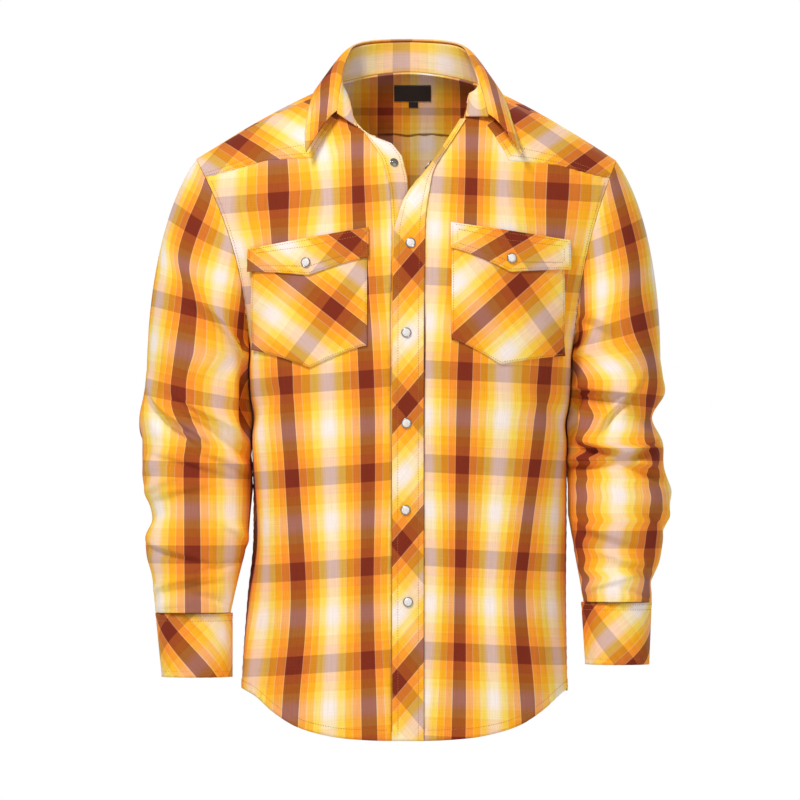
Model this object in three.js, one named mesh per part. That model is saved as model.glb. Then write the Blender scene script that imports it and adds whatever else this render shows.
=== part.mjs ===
import * as THREE from 'three';

// A western snap shirt in the form it has when worn: hollow, and open at neck, hem and cuffs.
// Millimetres, +Z up. The front faces -Y and +X is the wearer's left.
// The origin lies midway between the two points where the shoulders meet the neck.

const CLOTH = 1.2;
const DOUBLED_CLOTH = 2;
const SEAM_GAP = 0.3;
const LAYER_GAP = 0.9;

const UNDERARM_Z = -298;
const SIDE_HEM_Z = -710;
const FRONT_ROUNDNESS = 2.8;
const SIDE_CROWDING = 1.25;
const ARMHOLE_DEPTH = 62;
const ARMHOLE_STEPS = 10;
const NECK_HALF_WIDTH = 72;
const NECK_BACK_LEVEL = -0.25;

const SNAP_RADIUS = 5.6;
const SNAP_HEIGHT = 2.6;
const LABEL_WIDTH = 44;
const LABEL_HEIGHT = 19;

const RIGHT = -1;
const LEFT = 1;

const COLOURS = {
  cloth: new THREE.MeshStandardMaterial({ color: '#f5b53c', roughness: 0.85, metalness: 0 }),
  biasCloth: new THREE.MeshStandardMaterial({ color: '#e08a33', roughness: 0.85, metalness: 0 }),
  backCloth: new THREE.MeshStandardMaterial({ color: '#c9742c', roughness: 0.85, metalness: 0 }),
  pearl: new THREE.MeshStandardMaterial({ color: '#f6f1ec', roughness: 0.25, metalness: 0 }),
  steel: new THREE.MeshStandardMaterial({ color: '#b9b9b6', roughness: 0.3, metalness: 1 }),
  label: new THREE.MeshStandardMaterial({ color: '#1b1512', roughness: 0.7, metalness: 0 }),
};

// Levels run over the shoulder: 0 on its ridge, 1 at the underarm and 2 at the side hem in
// front, and the same below zero behind. Each row is where the body's middle line passes.
const MIDDLE_LINE = [
  { level: -2.2, y: 116, z: -792.4 },
  { level: -2, y: 113, z: -710 },
  { level: -1.75, y: 108, z: -607 },
  { level: -1.5, y: 106, z: -504 },
  { level: -1.25, y: 108, z: -401 },
  { level: -1, y: 115, z: -298 },
  { level: -0.85, y: 114, z: -205 },
  { level: -0.7, y: 108, z: -125 },
  { level: -0.55, y: 98, z: -60 },
  { level: -0.4, y: 84, z: -8 },
  { level: -0.25, y: 62, z: 21 },
  { level: -0.12, y: 34, z: 25 },
  { level: 0, y: 0, z: 16 },
  { level: 0.12, y: -34, z: 2 },
  { level: 0.25, y: -60, z: -24 },
  { level: 0.4, y: -84, z: -68 },
  { level: 0.55, y: -101, z: -118 },
  { level: 0.7, y: -113, z: -170 },
  { level: 0.85, y: -121, z: -232 },
  { level: 1, y: -126, z: -298 },
  { level: 1.25, y: -124, z: -401 },
  { level: 1.5, y: -120, z: -504 },
  { level: 1.75, y: -119, z: -607 },
  { level: 2, y: -122, z: -710 },
  { level: 2.2, y: -124, z: -792.4 },
];

// How far each section turns before its side edge, and how late it drops towards the side.
const SECTION_TURN = [
  { level: 0, turn: 50, drop: 1.63 },
  { level: 0.25, turn: 55, drop: 1.8 },
  { level: 0.5, turn: 62, drop: 2 },
  { level: 0.75, turn: 75, drop: 2.2 },
  { level: 1, turn: 90, drop: 2 },
  { level: 2.2, turn: 90, drop: 2 },
];

// Half widths of the body at the side seams.
const SIDE_SEAM = [
  { level: 1, right: 188, left: 196 },
  { level: 1.25, right: 184, left: 188 },
  { level: 1.57, right: 182, left: 186.5 },
  { level: 1.74, right: 189, left: 186 },
  { level: 2, right: 196, left: 187.5 },
  { level: 2.2, right: 197, left: 188 },
];

const SHOULDERS = {
  [RIGHT]: { tipX: 250, tipZ: -84, underX: 188, bow: 14, column: 'right' },
  [LEFT]: { tipX: 246, tipZ: -86, underX: 196, bow: 10, column: 'left' },
};

// Soft folds of the body, as ridges (height over 0) and troughs (under 0). Lean is the angle of
// the fold from vertical, positive when its top leans to the wearer's left.
const BODY_FOLDS = [
  { face: 'front', x: -172, z: -376, length: 70, width: 12, height: -4, lean: 40 },
  { face: 'front', x: -140, z: -560, length: 260, width: 20, height: 4, lean: -4 },
  { face: 'front', x: -176, z: -590, length: 240, width: 15, height: -5, lean: -3 },
  { face: 'front', x: -70, z: -640, length: 200, width: 18, height: 3, lean: 3 },
  { face: 'front', x: 172, z: -380, length: 70, width: 12, height: -4, lean: -36 },
  { face: 'front', x: 120, z: -600, length: 240, width: 20, height: 4, lean: 5 },
  { face: 'front', x: 62, z: -640, length: 200, width: 16, height: -3, lean: 2 },
  { face: 'back', x: -120, z: -480, length: 330, width: 18, height: 5, lean: 6 },
  { face: 'back', x: -55, z: -430, length: 300, width: 17, height: -5, lean: 3 },
  { face: 'back', x: 12, z: -520, length: 340, width: 18, height: 5, lean: 0 },
  { face: 'back', x: 74, z: -450, length: 320, width: 17, height: -5, lean: -4 },
  { face: 'back', x: 135, z: -520, length: 300, width: 18, height: 5, lean: -6 },
];

// Half the neck seam on each side, from the shoulder ridge to the end of the stand.
const NECK_FRONT = {
  [RIGHT]: [[-71, -8], [-67, -20], [-63, -36], [-59, -47]],
  [LEFT]: [[71, -8], [69, -18], [67, -28], [66, -35]],
};
const YOKE_NECK_POINT = 1;

// The front edges as seen from the front: the opening above the first closed snap, then straight.
const BAND_FREE_EDGE = [
  [-48, -55.5], [-19, -65], [-7, -79], [-1, -103], [1, -128], [10, -165], [16.5, -190], [16.5, -768],
];
const BAND_SEWN_EDGE = [
  [-62, -40], [-45, -62], [-30, -84], [-21, -120], [-19, -160], [-19, -190], [-19, -768],
];
const TOP_FRONT_EDGE = [
  [66, -35], [57, -52], [51, -60], [33, -88], [26, -102], [21, -131], [18.5, -184], [17.6, -768],
];

// Front yoke seams, from the neck over the point to the armhole.
const YOKE_SEAM = {
  [RIGHT]: { point: [-113, -84], middle: [-166, -86] },
  [LEFT]: { point: [119, -87], middle: [178, -92] },
};

// Height of the shirt-tail hem across the front and the back, by distance from the middle.
const HEM = [
  { x: 0, front: -769, back: -765 },
  { x: 50, front: -768, back: -764 },
  { x: 90, front: -764, back: -760 },
  { x: 130, front: -753, back: -748 },
  { x: 158, front: -736, back: -732 },
  { x: 180, front: -718, back: -716 },
  { x: 200, front: -708, back: -708 },
];

// Sections of the collar, from the right end of the stand round the back to the left end.
const COLLAR = [
  { at: -2, rollX: -83, rollY: -68, rollZ: -30, edgeX: -119, edgeY: -98, edgeZ: -77 },
  { at: -1.5, rollX: -79, rollY: -44, rollZ: 2, edgeX: -119, edgeY: -70, edgeZ: -48 },
  { at: -1, rollX: -72, rollY: -6, rollZ: 35, edgeX: -108, edgeY: -4, edgeZ: -2 },
  { at: -0.5, rollX: -57, rollY: 42, rollZ: 54, edgeX: -82, edgeY: 60, edgeZ: 8 },
  { at: 0, rollX: 0, rollY: 68, rollZ: 59, edgeX: 0, edgeY: 87, edgeZ: 12 },
  { at: 0.5, rollX: 57, rollY: 42, rollZ: 54, edgeX: 82, edgeY: 60, edgeZ: 8 },
  { at: 1, rollX: 73, rollY: -6, rollZ: 35, edgeX: 108, edgeY: -4, edgeZ: -4 },
  { at: 1.5, rollX: 86, rollY: -42, rollZ: 0, edgeX: 124, edgeY: -64, edgeZ: -50 },
  { at: 2, rollX: 94, rollY: -62, rollZ: -34, edgeX: 133, edgeY: -96, edgeZ: -80 },
];

// Level sections of the sleeves below the armhole: outermost and innermost x, as distances from
// the body's middle, the front-to-back middle y and half the front-to-back depth.
const SLEEVES = {
  [RIGHT]: [
    { z: -332, outer: 308, inner: 191, y: 3, depth: 70 },
    { z: -361, outer: 312, inner: 190, y: 2, depth: 67 },
    { z: -389, outer: 317, inner: 190, y: 0, depth: 65 },
    { z: -417, outer: 314, inner: 190, y: -2, depth: 62 },
    { z: -446, outer: 313, inner: 190, y: -5, depth: 61 },
    { z: -474, outer: 310, inner: 190, y: -8, depth: 60 },
    { z: -503, outer: 303, inner: 191, y: -12, depth: 57 },
    { z: -528, outer: 309, inner: 192, y: -16, depth: 57 },
    { z: -552, outer: 308, inner: 196, y: -20, depth: 54 },
    { z: -574, outer: 302, inner: 201, y: -24, depth: 51 },
    { z: -596, outer: 299, inner: 206, y: -27, depth: 48 },
    { z: -619, outer: 297, inner: 211, y: -30, depth: 45 },
  ],
  [LEFT]: [
    { z: -319, outer: 298, inner: 199, y: 3, depth: 70 },
    { z: -340, outer: 301, inner: 196, y: 2, depth: 68 },
    { z: -361, outer: 303, inner: 194, y: 1, depth: 66 },
    { z: -389, outer: 288, inner: 193, y: -2, depth: 62 },
    { z: -417, outer: 301, inner: 192, y: -6, depth: 62 },
    { z: -446, outer: 301, inner: 192, y: -10, depth: 61 },
    { z: -476, outer: 310, inner: 193, y: -14, depth: 60 },
    { z: -503, outer: 306, inner: 194, y: -18, depth: 57 },
    { z: -531, outer: 301, inner: 197, y: -23, depth: 54 },
    { z: -559, outer: 296, inner: 201, y: -28, depth: 51 },
    { z: -583, outer: 287, inner: 205, y: -32, depth: 48 },
    { z: -606, outer: 287, inner: 209, y: -35, depth: 45 },
  ],
};
const SLEEVE_BRIDGE_STEPS = 7;

// Folds of the sleeves. Around is the angle from the outer side (0) over the front (90) to the
// inner side (180). Rise is how far the fold climbs, in mm, for each degree it goes round.
const SLEEVE_FOLDS = [
  { side: RIGHT, z: -430, around: 60, width: 11, spread: 60, height: 6, rise: 0.5 },
  { side: RIGHT, z: -500, around: 40, width: 12, spread: 60, height: -5, rise: 0.3 },
  { side: RIGHT, z: -330, around: 130, width: 14, spread: 50, height: -5, rise: 0.5 },
  { side: RIGHT, z: -470, around: 260, width: 13, spread: 60, height: 6, rise: -0.3 },
  { side: LEFT, z: -395, around: 60, width: 11, spread: 60, height: -5, rise: 0.3 },
  { side: LEFT, z: -432, around: 70, width: 12, spread: 70, height: 5, rise: 0.2 },
  { side: LEFT, z: -540, around: 80, width: 12, spread: 60, height: -4, rise: 0.5 },
  { side: LEFT, z: -470, around: 260, width: 13, spread: 60, height: 6, rise: -0.3 },
];

// The cuffs, a closed band with its ends lapped: its two edges.
const CUFFS = {
  [RIGHT]: {
    top: { z: -619.6, outer: 296.5, inner: 212, y: -30, depth: 39 },
    bottom: { z: -695, outer: 289, inner: 212, y: -36, depth: 37 },
  },
  [LEFT]: {
    top: { z: -606.6, outer: 286, inner: 209.5, y: -35, depth: 39 },
    bottom: { z: -680, outer: 283, inner: 214, y: -42, depth: 37 },
  },
};
const CUFF_START = 190;
const CUFF_LAP = 36;
const CUFF_LAP_HEIGHT = 3.2;
const CUFF_STEPS = 22;

// Pocket and flap outlines as seen from the front.
const POCKETS = {
  [RIGHT]: {
    inner: -48, outer: -182, top: -190, innerFoot: -304, point: [-115, -330], outerFoot: -309,
    flapInner: -46, flapOuter: -186, flapInnerTop: -166, flapOuterTop: -190,
    flapInnerFoot: -201, flapPoint: [-115, -222], flapOuterFoot: -216, snap: [-118, -207],
  },
  [LEFT]: {
    inner: 51, outer: 182, top: -188, innerFoot: -297, point: [108, -326], outerFoot: -316,
    flapInner: 50, flapOuter: 189, flapInnerTop: -160, flapOuterTop: -180,
    flapInnerFoot: -190, flapPoint: [119, -218], flapOuterFoot: -214, snap: [120, -202],
  },
};

// How far a pocket's outer edge stands off where the chest turns away.
const POCKET_EASE = 1.3;

const CLOSED_SNAPS = [
  { x: 3, z: -184 },
  { x: -2, z: -289 },
  { x: -2, z: -395 },
  { x: -3, z: -497 },
  { x: 0, z: -605 },
];
const OPEN_SNAP_Z = -88;
const OPEN_SNAP_SPREAD = 0.78;
const OPEN_SNAP_GAP = 0.5;
const STUD = { share: 0.217, spread: 0.5 };

const radians = THREE.MathUtils.degToRad;

// Reads a column of a table at any place along its key, on a smooth curve through the rows.
function along(table, key, column, place) {
  let first = 0;
  while (first < table.length - 2 && place > table[first + 1][key]) {
    first += 1;
  }
  const slope = (row) => {
    const before = table[Math.max(row - 1, 0)];
    const after = table[Math.min(row + 1, table.length - 1)];
    return (after[column] - before[column]) / (after[key] - before[key]);
  };
  const from = table[first];
  const to = table[first + 1];
  const span = to[key] - from[key];
  const t = (place - from[key]) / span;
  if (t < 0 || t > 1) {
    return t < 0 ? from[column] + t * span * slope(first) : to[column] + (t - 1) * span * slope(first + 1);
  }
  const [t2, t3] = [t * t, t * t * t];
  return from[column] * (2 * t3 - 3 * t2 + 1)
    + slope(first) * span * (t3 - 2 * t2 + t)
    + to[column] * (3 * t2 - 2 * t3)
    + slope(first + 1) * span * (t3 - t2);
}

function mix(a, b, t) {
  return a + (b - a) * t;
}

// A place t from 0 to 1 along a list of corners, by length.
function alongCorners(corners, t) {
  const lengths = corners.slice(1).map((corner, i) => Math.hypot(
    corner[0] - corners[i][0], corner[1] - corners[i][1],
  ));
  let left = t * lengths.reduce((sum, length) => sum + length, 0);
  let i = 0;
  while (i < lengths.length - 1 && left > lengths[i]) {
    left -= lengths[i];
    i += 1;
  }
  const part = left / lengths[i];
  return [mix(corners[i][0], corners[i + 1][0], part), mix(corners[i][1], corners[i + 1][1], part)];
}

// The side edge of the body at a level: the armhole down to the underarm, then the side seam.
function sideEdge(side, level) {
  const shoulder = SHOULDERS[side];
  const depth = Math.abs(level);
  if (depth >= 1) {
    return {
      x: along(SIDE_SEAM, 'level', shoulder.column, depth),
      y: 2,
      z: mix(UNDERARM_Z, SIDE_HEM_Z, depth - 1),
    };
  }
  const angle = Math.PI * depth;
  const fall = (1 - Math.cos(angle)) / 2;
  const bulge = Math.sin(angle);
  return {
    x: mix(shoulder.tipX, shoulder.underX, fall) - shoulder.bow * bulge * bulge,
    y: 2 * fall - Math.sign(level) * ARMHOLE_DEPTH * bulge,
    z: mix(shoulder.tipZ, UNDERARM_Z, fall),
  };
}

// How much of its way a section has turned at an angle, on a rounded rectangle.
function roundness(angle) {
  return Math.pow(Math.max(1 - Math.pow(Math.abs(Math.sin(angle)), FRONT_ROUNDNESS), 0), 1 / FRONT_ROUNDNESS);
}

// The bare form of the body: across is 0 on the middle line and 1 at the side edge.
function bodyForm(side, across, level) {
  const edge = sideEdge(side, level);
  const turn = radians(Math.min(along(SECTION_TURN, 'level', 'turn', Math.abs(level)), 90));
  const drop = along(SECTION_TURN, 'level', 'drop', Math.abs(level));
  const middleY = along(MIDDLE_LINE, 'level', 'y', level);
  const middleZ = along(MIDDLE_LINE, 'level', 'z', level);
  const angle = turn * (1 - Math.pow(1 - across, SIDE_CROWDING));
  const width = Math.sin(angle) / Math.sin(turn);
  const depth = (1 - roundness(angle)) / (1 - roundness(turn));
  return new THREE.Vector3(
    side * edge.x * width,
    mix(middleY, edge.y, depth),
    mix(middleZ, edge.z, Math.pow(Math.abs(width), drop)),
  );
}

function outward(side, across, level) {
  const step = 0.004;
  const ahead = Math.min(across + step, 1);
  const crosswise = bodyForm(side, ahead, level).sub(bodyForm(side, ahead - 2 * step, level));
  const downwards = bodyForm(side, across, level + step).sub(bodyForm(side, across, level - step));
  return crosswise.cross(downwards).normalize().multiplyScalar(-side);
}

// How far the folds lift the cloth at a point of the body.
function bodyFold(point) {
  const face = point.y < 0 ? 'front' : 'back';
  let lift = 0;
  for (const fold of BODY_FOLDS) {
    if (fold.face === face) {
      const lean = radians(fold.lean);
      const [dx, dz] = [point.x - fold.x, point.z - fold.z];
      const lengthwise = dz * Math.cos(lean) + dx * Math.sin(lean);
      const crosswise = dx * Math.cos(lean) - dz * Math.sin(lean);
      const ends = Math.pow(2 * lengthwise / fold.length, 4);
      lift += fold.height * Math.exp(-Math.pow(crosswise / fold.width, 2) - ends);
    }
  }
  return lift;
}

// A point of the body's cloth, moved out by a distance.
function onBody(side, across, level, distance) {
  const point = bodyForm(side, across, level);
  const lift = bodyFold(point) + distance;
  return point.addScaledVector(outward(side, across, level), lift);
}

// The place on the body that is seen at x, z, from the front unless it starts behind.
function findPlace(side, x, z, startLevel) {
  let across = Math.abs(x) / 200 * Math.sign(x * side);
  let level = startLevel ?? Math.max(0.05, -z / 300);
  const step = 0.002;
  for (let round = 0; round < 14; round += 1) {
    const here = bodyForm(side, across, level);
    const beside = bodyForm(side, across + step, level);
    const below = bodyForm(side, across, level + step);
    const [a, b] = [(beside.x - here.x) / step, (below.x - here.x) / step];
    const [c, d] = [(beside.z - here.z) / step, (below.z - here.z) / step];
    const determinant = a * d - b * c;
    const [missX, missZ] = [x - here.x, z - here.z];
    across += THREE.MathUtils.clamp((d * missX - b * missZ) / determinant, -0.15, 0.15);
    level += THREE.MathUtils.clamp((a * missZ - c * missX) / determinant, -0.15, 0.15);
  }
  return [across, level];
}

// A closed wall between two grids of points: points(i, j, distance) gives one face or the other.
function wall(rows, columns, points, inner, outer, wrapped = false) {
  const positions = [];
  const across = wrapped ? columns : columns + 1;
  for (const distance of [inner, outer]) {
    for (let i = 0; i <= rows; i += 1) {
      for (let j = 0; j < across; j += 1) {
        positions.push(...points(i, j, distance).toArray());
      }
    }
  }
  const layer = (rows + 1) * across;
  const index = (i, j, face) => face * layer + i * across + (j % across);
  const triangles = [];
  const quad = (a, b, c, d) => triangles.push(a, b, c, a, c, d);
  for (let i = 0; i < rows; i += 1) {
    for (let j = 0; j < columns; j += 1) {
      quad(index(i, j, 1), index(i + 1, j, 1), index(i + 1, j + 1, 1), index(i, j + 1, 1));
      quad(index(i, j, 0), index(i, j + 1, 0), index(i + 1, j + 1, 0), index(i + 1, j, 0));
    }
  }
  for (let j = 0; j < columns; j += 1) {
    quad(index(0, j, 0), index(0, j, 1), index(0, j + 1, 1), index(0, j + 1, 0));
    quad(index(rows, j, 0), index(rows, j + 1, 0), index(rows, j + 1, 1), index(rows, j, 1));
  }
  if (!wrapped) {
    for (let i = 0; i < rows; i += 1) {
      quad(index(i, 0, 0), index(i + 1, 0, 0), index(i + 1, 0, 1), index(i, 0, 1));
      quad(index(i, columns, 0), index(i, columns, 1), index(i + 1, columns, 1), index(i + 1, columns, 0));
    }
  }
  const geometry = new THREE.BufferGeometry();
  geometry.setAttribute('position', new THREE.Float32BufferAttribute(positions, 3));
  geometry.setIndex(triangles);
  return facingOut(geometry);
}

// Turns a closed shape's faces round if they point inwards.
function facingOut(geometry) {
  const position = geometry.getAttribute('position');
  const index = geometry.getIndex();
  const corners = [new THREE.Vector3(), new THREE.Vector3(), new THREE.Vector3()];
  let volume = 0;
  for (let t = 0; t < index.count; t += 3) {
    corners.forEach((corner, k) => corner.fromBufferAttribute(position, index.getX(t + k)));
    volume += corners[0].dot(corners[1].clone().cross(corners[2]));
  }
  if (volume < 0) {
    for (let t = 0; t < index.count; t += 3) {
      const second = index.getX(t + 1);
      index.setX(t + 1, index.getX(t + 2));
      index.setX(t + 2, second);
    }
  }
  geometry.computeVertexNormals();
  return geometry;
}

const shirt = new THREE.Group();

function add(name, geometry, material) {
  const mesh = new THREE.Mesh(geometry, material);
  mesh.name = name;
  shirt.add(mesh);
  return mesh;
}

function sideName(side) {
  return side === RIGHT ? 'right' : 'left';
}

// Half a seam's gap as a step in level and in across.
const SEAM_IN_LEVEL = SEAM_GAP / 2 / 250;
const SEAM_IN_ACROSS = SEAM_GAP / 2 / 190;

// The neck seam in places: at is 0 at the middle of the back, 1 on the ridge and 2 at the end.
function neckPlace(side, at) {
  const ridge = ridgeNeck(side);
  if (at <= 1) {
    const angle = at * Math.PI / 2;
    return [ridge * Math.sin(angle), NECK_BACK_LEVEL * Math.cos(angle)];
  }
  const places = [[ridge, 0], ...NECK_FRONT[side].map(([x, z]) => findPlace(side, x, z))];
  return alongCorners(places, at - 1);
}

function ridgeNeck(side) {
  return NECK_HALF_WIDTH / bodyForm(side, 1, 0).x * side * 1.08;
}

// The yoke's lower seam as places, from the neck to the armhole, at t from 0 to 1.
function yokeSeam(side, t) {
  const seam = YOKE_SEAM[side];
  const corners = [
    findPlace(side, ...NECK_FRONT[side][YOKE_NECK_POINT]),
    findPlace(side, ...seam.point),
    findPlace(side, ...seam.middle),
    [1, 2 / ARMHOLE_STEPS],
  ];
  const stops = [0, 0.3, 0.6, 1];
  let i = 0;
  while (i < 2 && t > stops[i + 1]) {
    i += 1;
  }
  const part = (t - stops[i]) / (stops[i + 1] - stops[i]);
  return [mix(corners[i][0], corners[i + 1][0], part), mix(corners[i][1], corners[i + 1][1], part)];
}

// A patch of places between four edge curves, each a function of 0 to 1.
function patch(top, bottom, start, end, s, t) {
  const value = (k) => mix(top(s)[k], bottom(s)[k], t) + mix(start(t)[k], end(t)[k], s)
    - mix(mix(top(0)[k], top(1)[k], s), mix(bottom(0)[k], bottom(1)[k], s), t);
  return [value(0), value(1)];
}

// Levels of the armhole's steps from one to the underarm, then down the side seam.
const SIDE_ROWS = 13;
function sideLevels(firstStep) {
  const levels = [];
  for (let step = firstStep; step <= ARMHOLE_STEPS; step += 1) {
    levels.push(step / ARMHOLE_STEPS);
  }
  for (let row = 1; row <= SIDE_ROWS; row += 1) {
    levels.push(1 + row / SIDE_ROWS * 0.995);
  }
  return levels;
}

const SEAM_COLUMNS = 14;

function addFrontYoke(side) {
  const rows = 2;
  const points = (i, j, distance) => {
    const s = j / SEAM_COLUMNS;
    const t = i / rows;
    const top = (k) => [mix(ridgeNeck(side), 1, k), 0];
    const bottom = (k) => yokeSeam(side, k);
    const start = (k) => neckPlace(side, mix(1, 1 + yokeNeckShare(side), k));
    const end = (k) => [1, k * 2 / ARMHOLE_STEPS];
    const [across, level] = patch(top, bottom, start, end, s, t);
    return onBody(
      side,
      across - (j === SEAM_COLUMNS ? SEAM_IN_ACROSS : 0),
      level + (i === 0 ? SEAM_IN_LEVEL : 0) - (i === rows ? SEAM_IN_LEVEL : 0),
      distance,
    );
  };
  add(`front_yoke_${sideName(side)}`, wall(rows, SEAM_COLUMNS, points, 0, CLOTH), COLOURS.biasCloth);
}

// The share of the front neck seam that the yoke takes, before the front begins.
function yokeNeckShare(side) {
  const places = [[ridgeNeck(side), 0], ...NECK_FRONT[side].map(([x, z]) => findPlace(side, x, z))];
  const lengths = places.slice(1).map((place, i) => Math.hypot(
    place[0] - places[i][0], place[1] - places[i][1],
  ));
  const whole = lengths.reduce((sum, length) => sum + length, 0);
  return lengths.slice(0, YOKE_NECK_POINT + 1).reduce((sum, length) => sum + length, 0) / whole;
}

function hemPlace(side, face, across) {
  const sign = face === 'front' ? 1 : -1;
  const width = Math.abs(bodyForm(side, across, 2 * sign).x);
  const z = along(HEM, 'x', face, Math.min(width, 200));
  return sign * (1 + (z - UNDERARM_Z) / (SIDE_HEM_Z - UNDERARM_Z));
}

function addFront(side) {
  const levels = sideLevels(2);
  const rows = levels.length - 1;
  const edge = side === RIGHT ? BAND_SEWN_EDGE : TOP_FRONT_EDGE;
  const inner = [NECK_FRONT[side][YOKE_NECK_POINT], ...edge].map(([x, z]) => findPlace(side, x, z));
  const start = (k) => {
    const wanted = mix(inner[0][1], inner[inner.length - 1][1], Math.pow(k, 1.15));
    return placeAtLevel(inner, wanted);
  };
  const last = start(1)[0];
  const points = (i, j, distance) => {
    const s = j / SEAM_COLUMNS;
    const t = i / rows;
    const bottom = (k) => [mix(last, 1, k), hemPlace(side, 'front', mix(last, 1, k))];
    const top = (k) => yokeSeam(side, k);
    const end = (k) => [1, levels[Math.round(k * rows)]];
    const [across, level] = patch(top, bottom, start, end, s, t);
    return onBody(
      side,
      across - (j === SEAM_COLUMNS ? SEAM_IN_ACROSS : 0),
      level + (i === 0 ? SEAM_IN_LEVEL : 0),
      distance,
    );
  };
  add(`front_${sideName(side)}`, wall(rows, SEAM_COLUMNS, points, 0, CLOTH), COLOURS.cloth);
}

// The place on a falling list of places at a wanted level.
function placeAtLevel(places, level) {
  let i = 0;
  while (i < places.length - 2 && level > places[i + 1][1]) {
    i += 1;
  }
  const part = (level - places[i][1]) / (places[i + 1][1] - places[i][1]);
  return [mix(places[i][0], places[i + 1][0], part), level];
}

// The back yoke and the back are whole across, so their places are signed by side.
const BACK_HALF_COLUMNS = 11;
const NECK_COLUMNS = 5;

function backColumn(j) {
  const side = j < BACK_HALF_COLUMNS ? RIGHT : LEFT;
  const step = Math.abs(j - BACK_HALF_COLUMNS);
  const ridge = ridgeNeck(side);
  const across = step <= NECK_COLUMNS
    ? ridge * Math.sin(step / NECK_COLUMNS * Math.PI / 2)
    : mix(ridge, 1, (step - NECK_COLUMNS) / (BACK_HALF_COLUMNS - NECK_COLUMNS));
  return { side, across, ridge };
}

const BACK_YOKE_SEAM = [
  { across: 0, level: -0.54 },
  { across: 0.15, level: -0.505 },
  { across: 0.35, level: -0.475 },
  { across: 0.7, level: -0.44 },
  { across: 1, level: -0.4 },
];

function backYokeTop(across, ridge) {
  return across >= ridge ? 0 : NECK_BACK_LEVEL * Math.sqrt(1 - Math.pow(across / ridge, 2));
}

function addBackYoke() {
  const rows = 4;
  const columns = 2 * BACK_HALF_COLUMNS;
  const points = (i, j, distance) => {
    const { side, across, ridge } = backColumn(j);
    const top = backYokeTop(across, ridge) - SEAM_IN_LEVEL;
    const bottom = along(BACK_YOKE_SEAM, 'across', 'level', across) + SEAM_IN_LEVEL;
    const inset = j === 0 || j === columns ? SEAM_IN_ACROSS : 0;
    return onBody(side, across - inset, mix(top, bottom, i / rows), distance);
  };
  add('back_yoke', wall(rows, columns, points, 0, CLOTH), COLOURS.biasCloth);
}

function addBack() {
  const levels = sideLevels(4);
  const rows = levels.length - 1;
  const columns = 2 * BACK_HALF_COLUMNS;
  const points = (i, j, distance) => {
    const { side, across } = backColumn(j);
    const top = along(BACK_YOKE_SEAM, 'across', 'level', across) - SEAM_IN_LEVEL;
    const bottom = hemPlace(side, 'back', across);
    const share = (levels[i] - levels[0]) / (levels[rows] - levels[0]);
    const inset = j === 0 || j === columns ? SEAM_IN_ACROSS : 0;
    const level = across === 1 ? -levels[i] : mix(top, bottom, share);
    return onBody(side, across - inset, i === 0 ? top : level, distance);
  };
  add('back', wall(rows, columns, points, 0, CLOTH), COLOURS.backCloth);
}

// The straight band under the closing sinks behind the other front where the neck stands open.
const BAND_SUNK = 11;
const BAND_SUNK_AT = 0.3;
const BAND_SUNK_SPREAD = 0.16;

function bandPoint(share, spread, distance) {
  const places = (edge, shift) => edge.map(([x, z]) => findPlace(RIGHT, x + shift, z));
  const free = places([NECK_FRONT[RIGHT][3], ...BAND_FREE_EDGE], 0);
  const sewn = places([NECK_FRONT[RIGHT][2], ...BAND_SEWN_EDGE], 0.4);
  const a = placeByShare(free, share);
  const b = placeByShare(sewn, share);
  const sinking = Math.exp(-Math.pow((share - BAND_SUNK_AT) / BAND_SUNK_SPREAD, 2));
  const sunk = (1 - spread) * BAND_SUNK * sinking;
  return onBody(RIGHT, mix(a[0], b[0], spread), mix(a[1], b[1], spread), distance - sunk);
}

function addUnderBand() {
  const rows = 26;
  const columns = 2;
  const points = (i, j, distance) => bandPoint(i / rows, j / columns, distance);
  add('placket_under', wall(rows, columns, points, 0, CLOTH), COLOURS.cloth);
}

// Walks a list of places by corners: the first half of the shares takes the open part.
function placeByShare(places, share) {
  const open = places.slice(0, -1);
  return share < 0.5
    ? alongCorners(open, share * 2)
    : alongCorners(places.slice(-2), share * 2 - 1);
}

// The top strip by depth below the shoulders: its sewn edge, the width of its flat part up to
// the ridge, its whole width, and how far the rest is turned inwards, in degrees.
const TOP_EDGE = [
  { z: 36, sewn: 69, flat: 6, width: 30, turned: 84 },
  { z: 60, sewn: 54, flat: 6, width: 32, turned: 80 },
  { z: 88, sewn: 35.5, flat: 6, width: 32, turned: 78 },
  { z: 100, sewn: 29.5, flat: 9, width: 30, turned: 74 },
  { z: 111, sewn: 27, flat: 13, width: 27, turned: 62 },
  { z: 123, sewn: 25, flat: 16, width: 28, turned: 40 },
  { z: 135, sewn: 23, flat: 17.5, width: 29.5, turned: 15 },
  { z: 150, sewn: 21, flat: 18, width: 32, turned: 4 },
  { z: 170, sewn: 20, flat: 18, width: 36, turned: 0 },
  { z: 300, sewn: 18.5, flat: 18, width: 37, turned: 0 },
  { z: 780, sewn: 18.5, flat: 18, width: 37, turned: 0 },
];

// A point of the top strip at a height and a share from its sewn edge to its free edge, moved
// out from its inner face by a distance.
function topStripPoint(z, spread, distance) {
  const [sewn, flat, width] = ['sewn', 'flat', 'width'].map((column) => along(TOP_EDGE, 'z', column, -z));
  const turned = radians(along(TOP_EDGE, 'z', 'turned', -z));
  const past = (width - flat) * Math.max(spread * 2 - 1, 0);
  const faces = turned * THREE.MathUtils.clamp((spread - 0.5) * 4 + 0.5, 0, 1);
  const x = sewn - flat * Math.min(spread * 2, 1) - past * Math.cos(turned) - distance * Math.sin(faces);
  const depth = past * Math.sin(turned) - distance * Math.cos(faces);
  const [across, level] = findPlace(LEFT, x, z);
  return onBody(LEFT, across, level, CLOTH + LAYER_GAP - depth);
}

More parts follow.
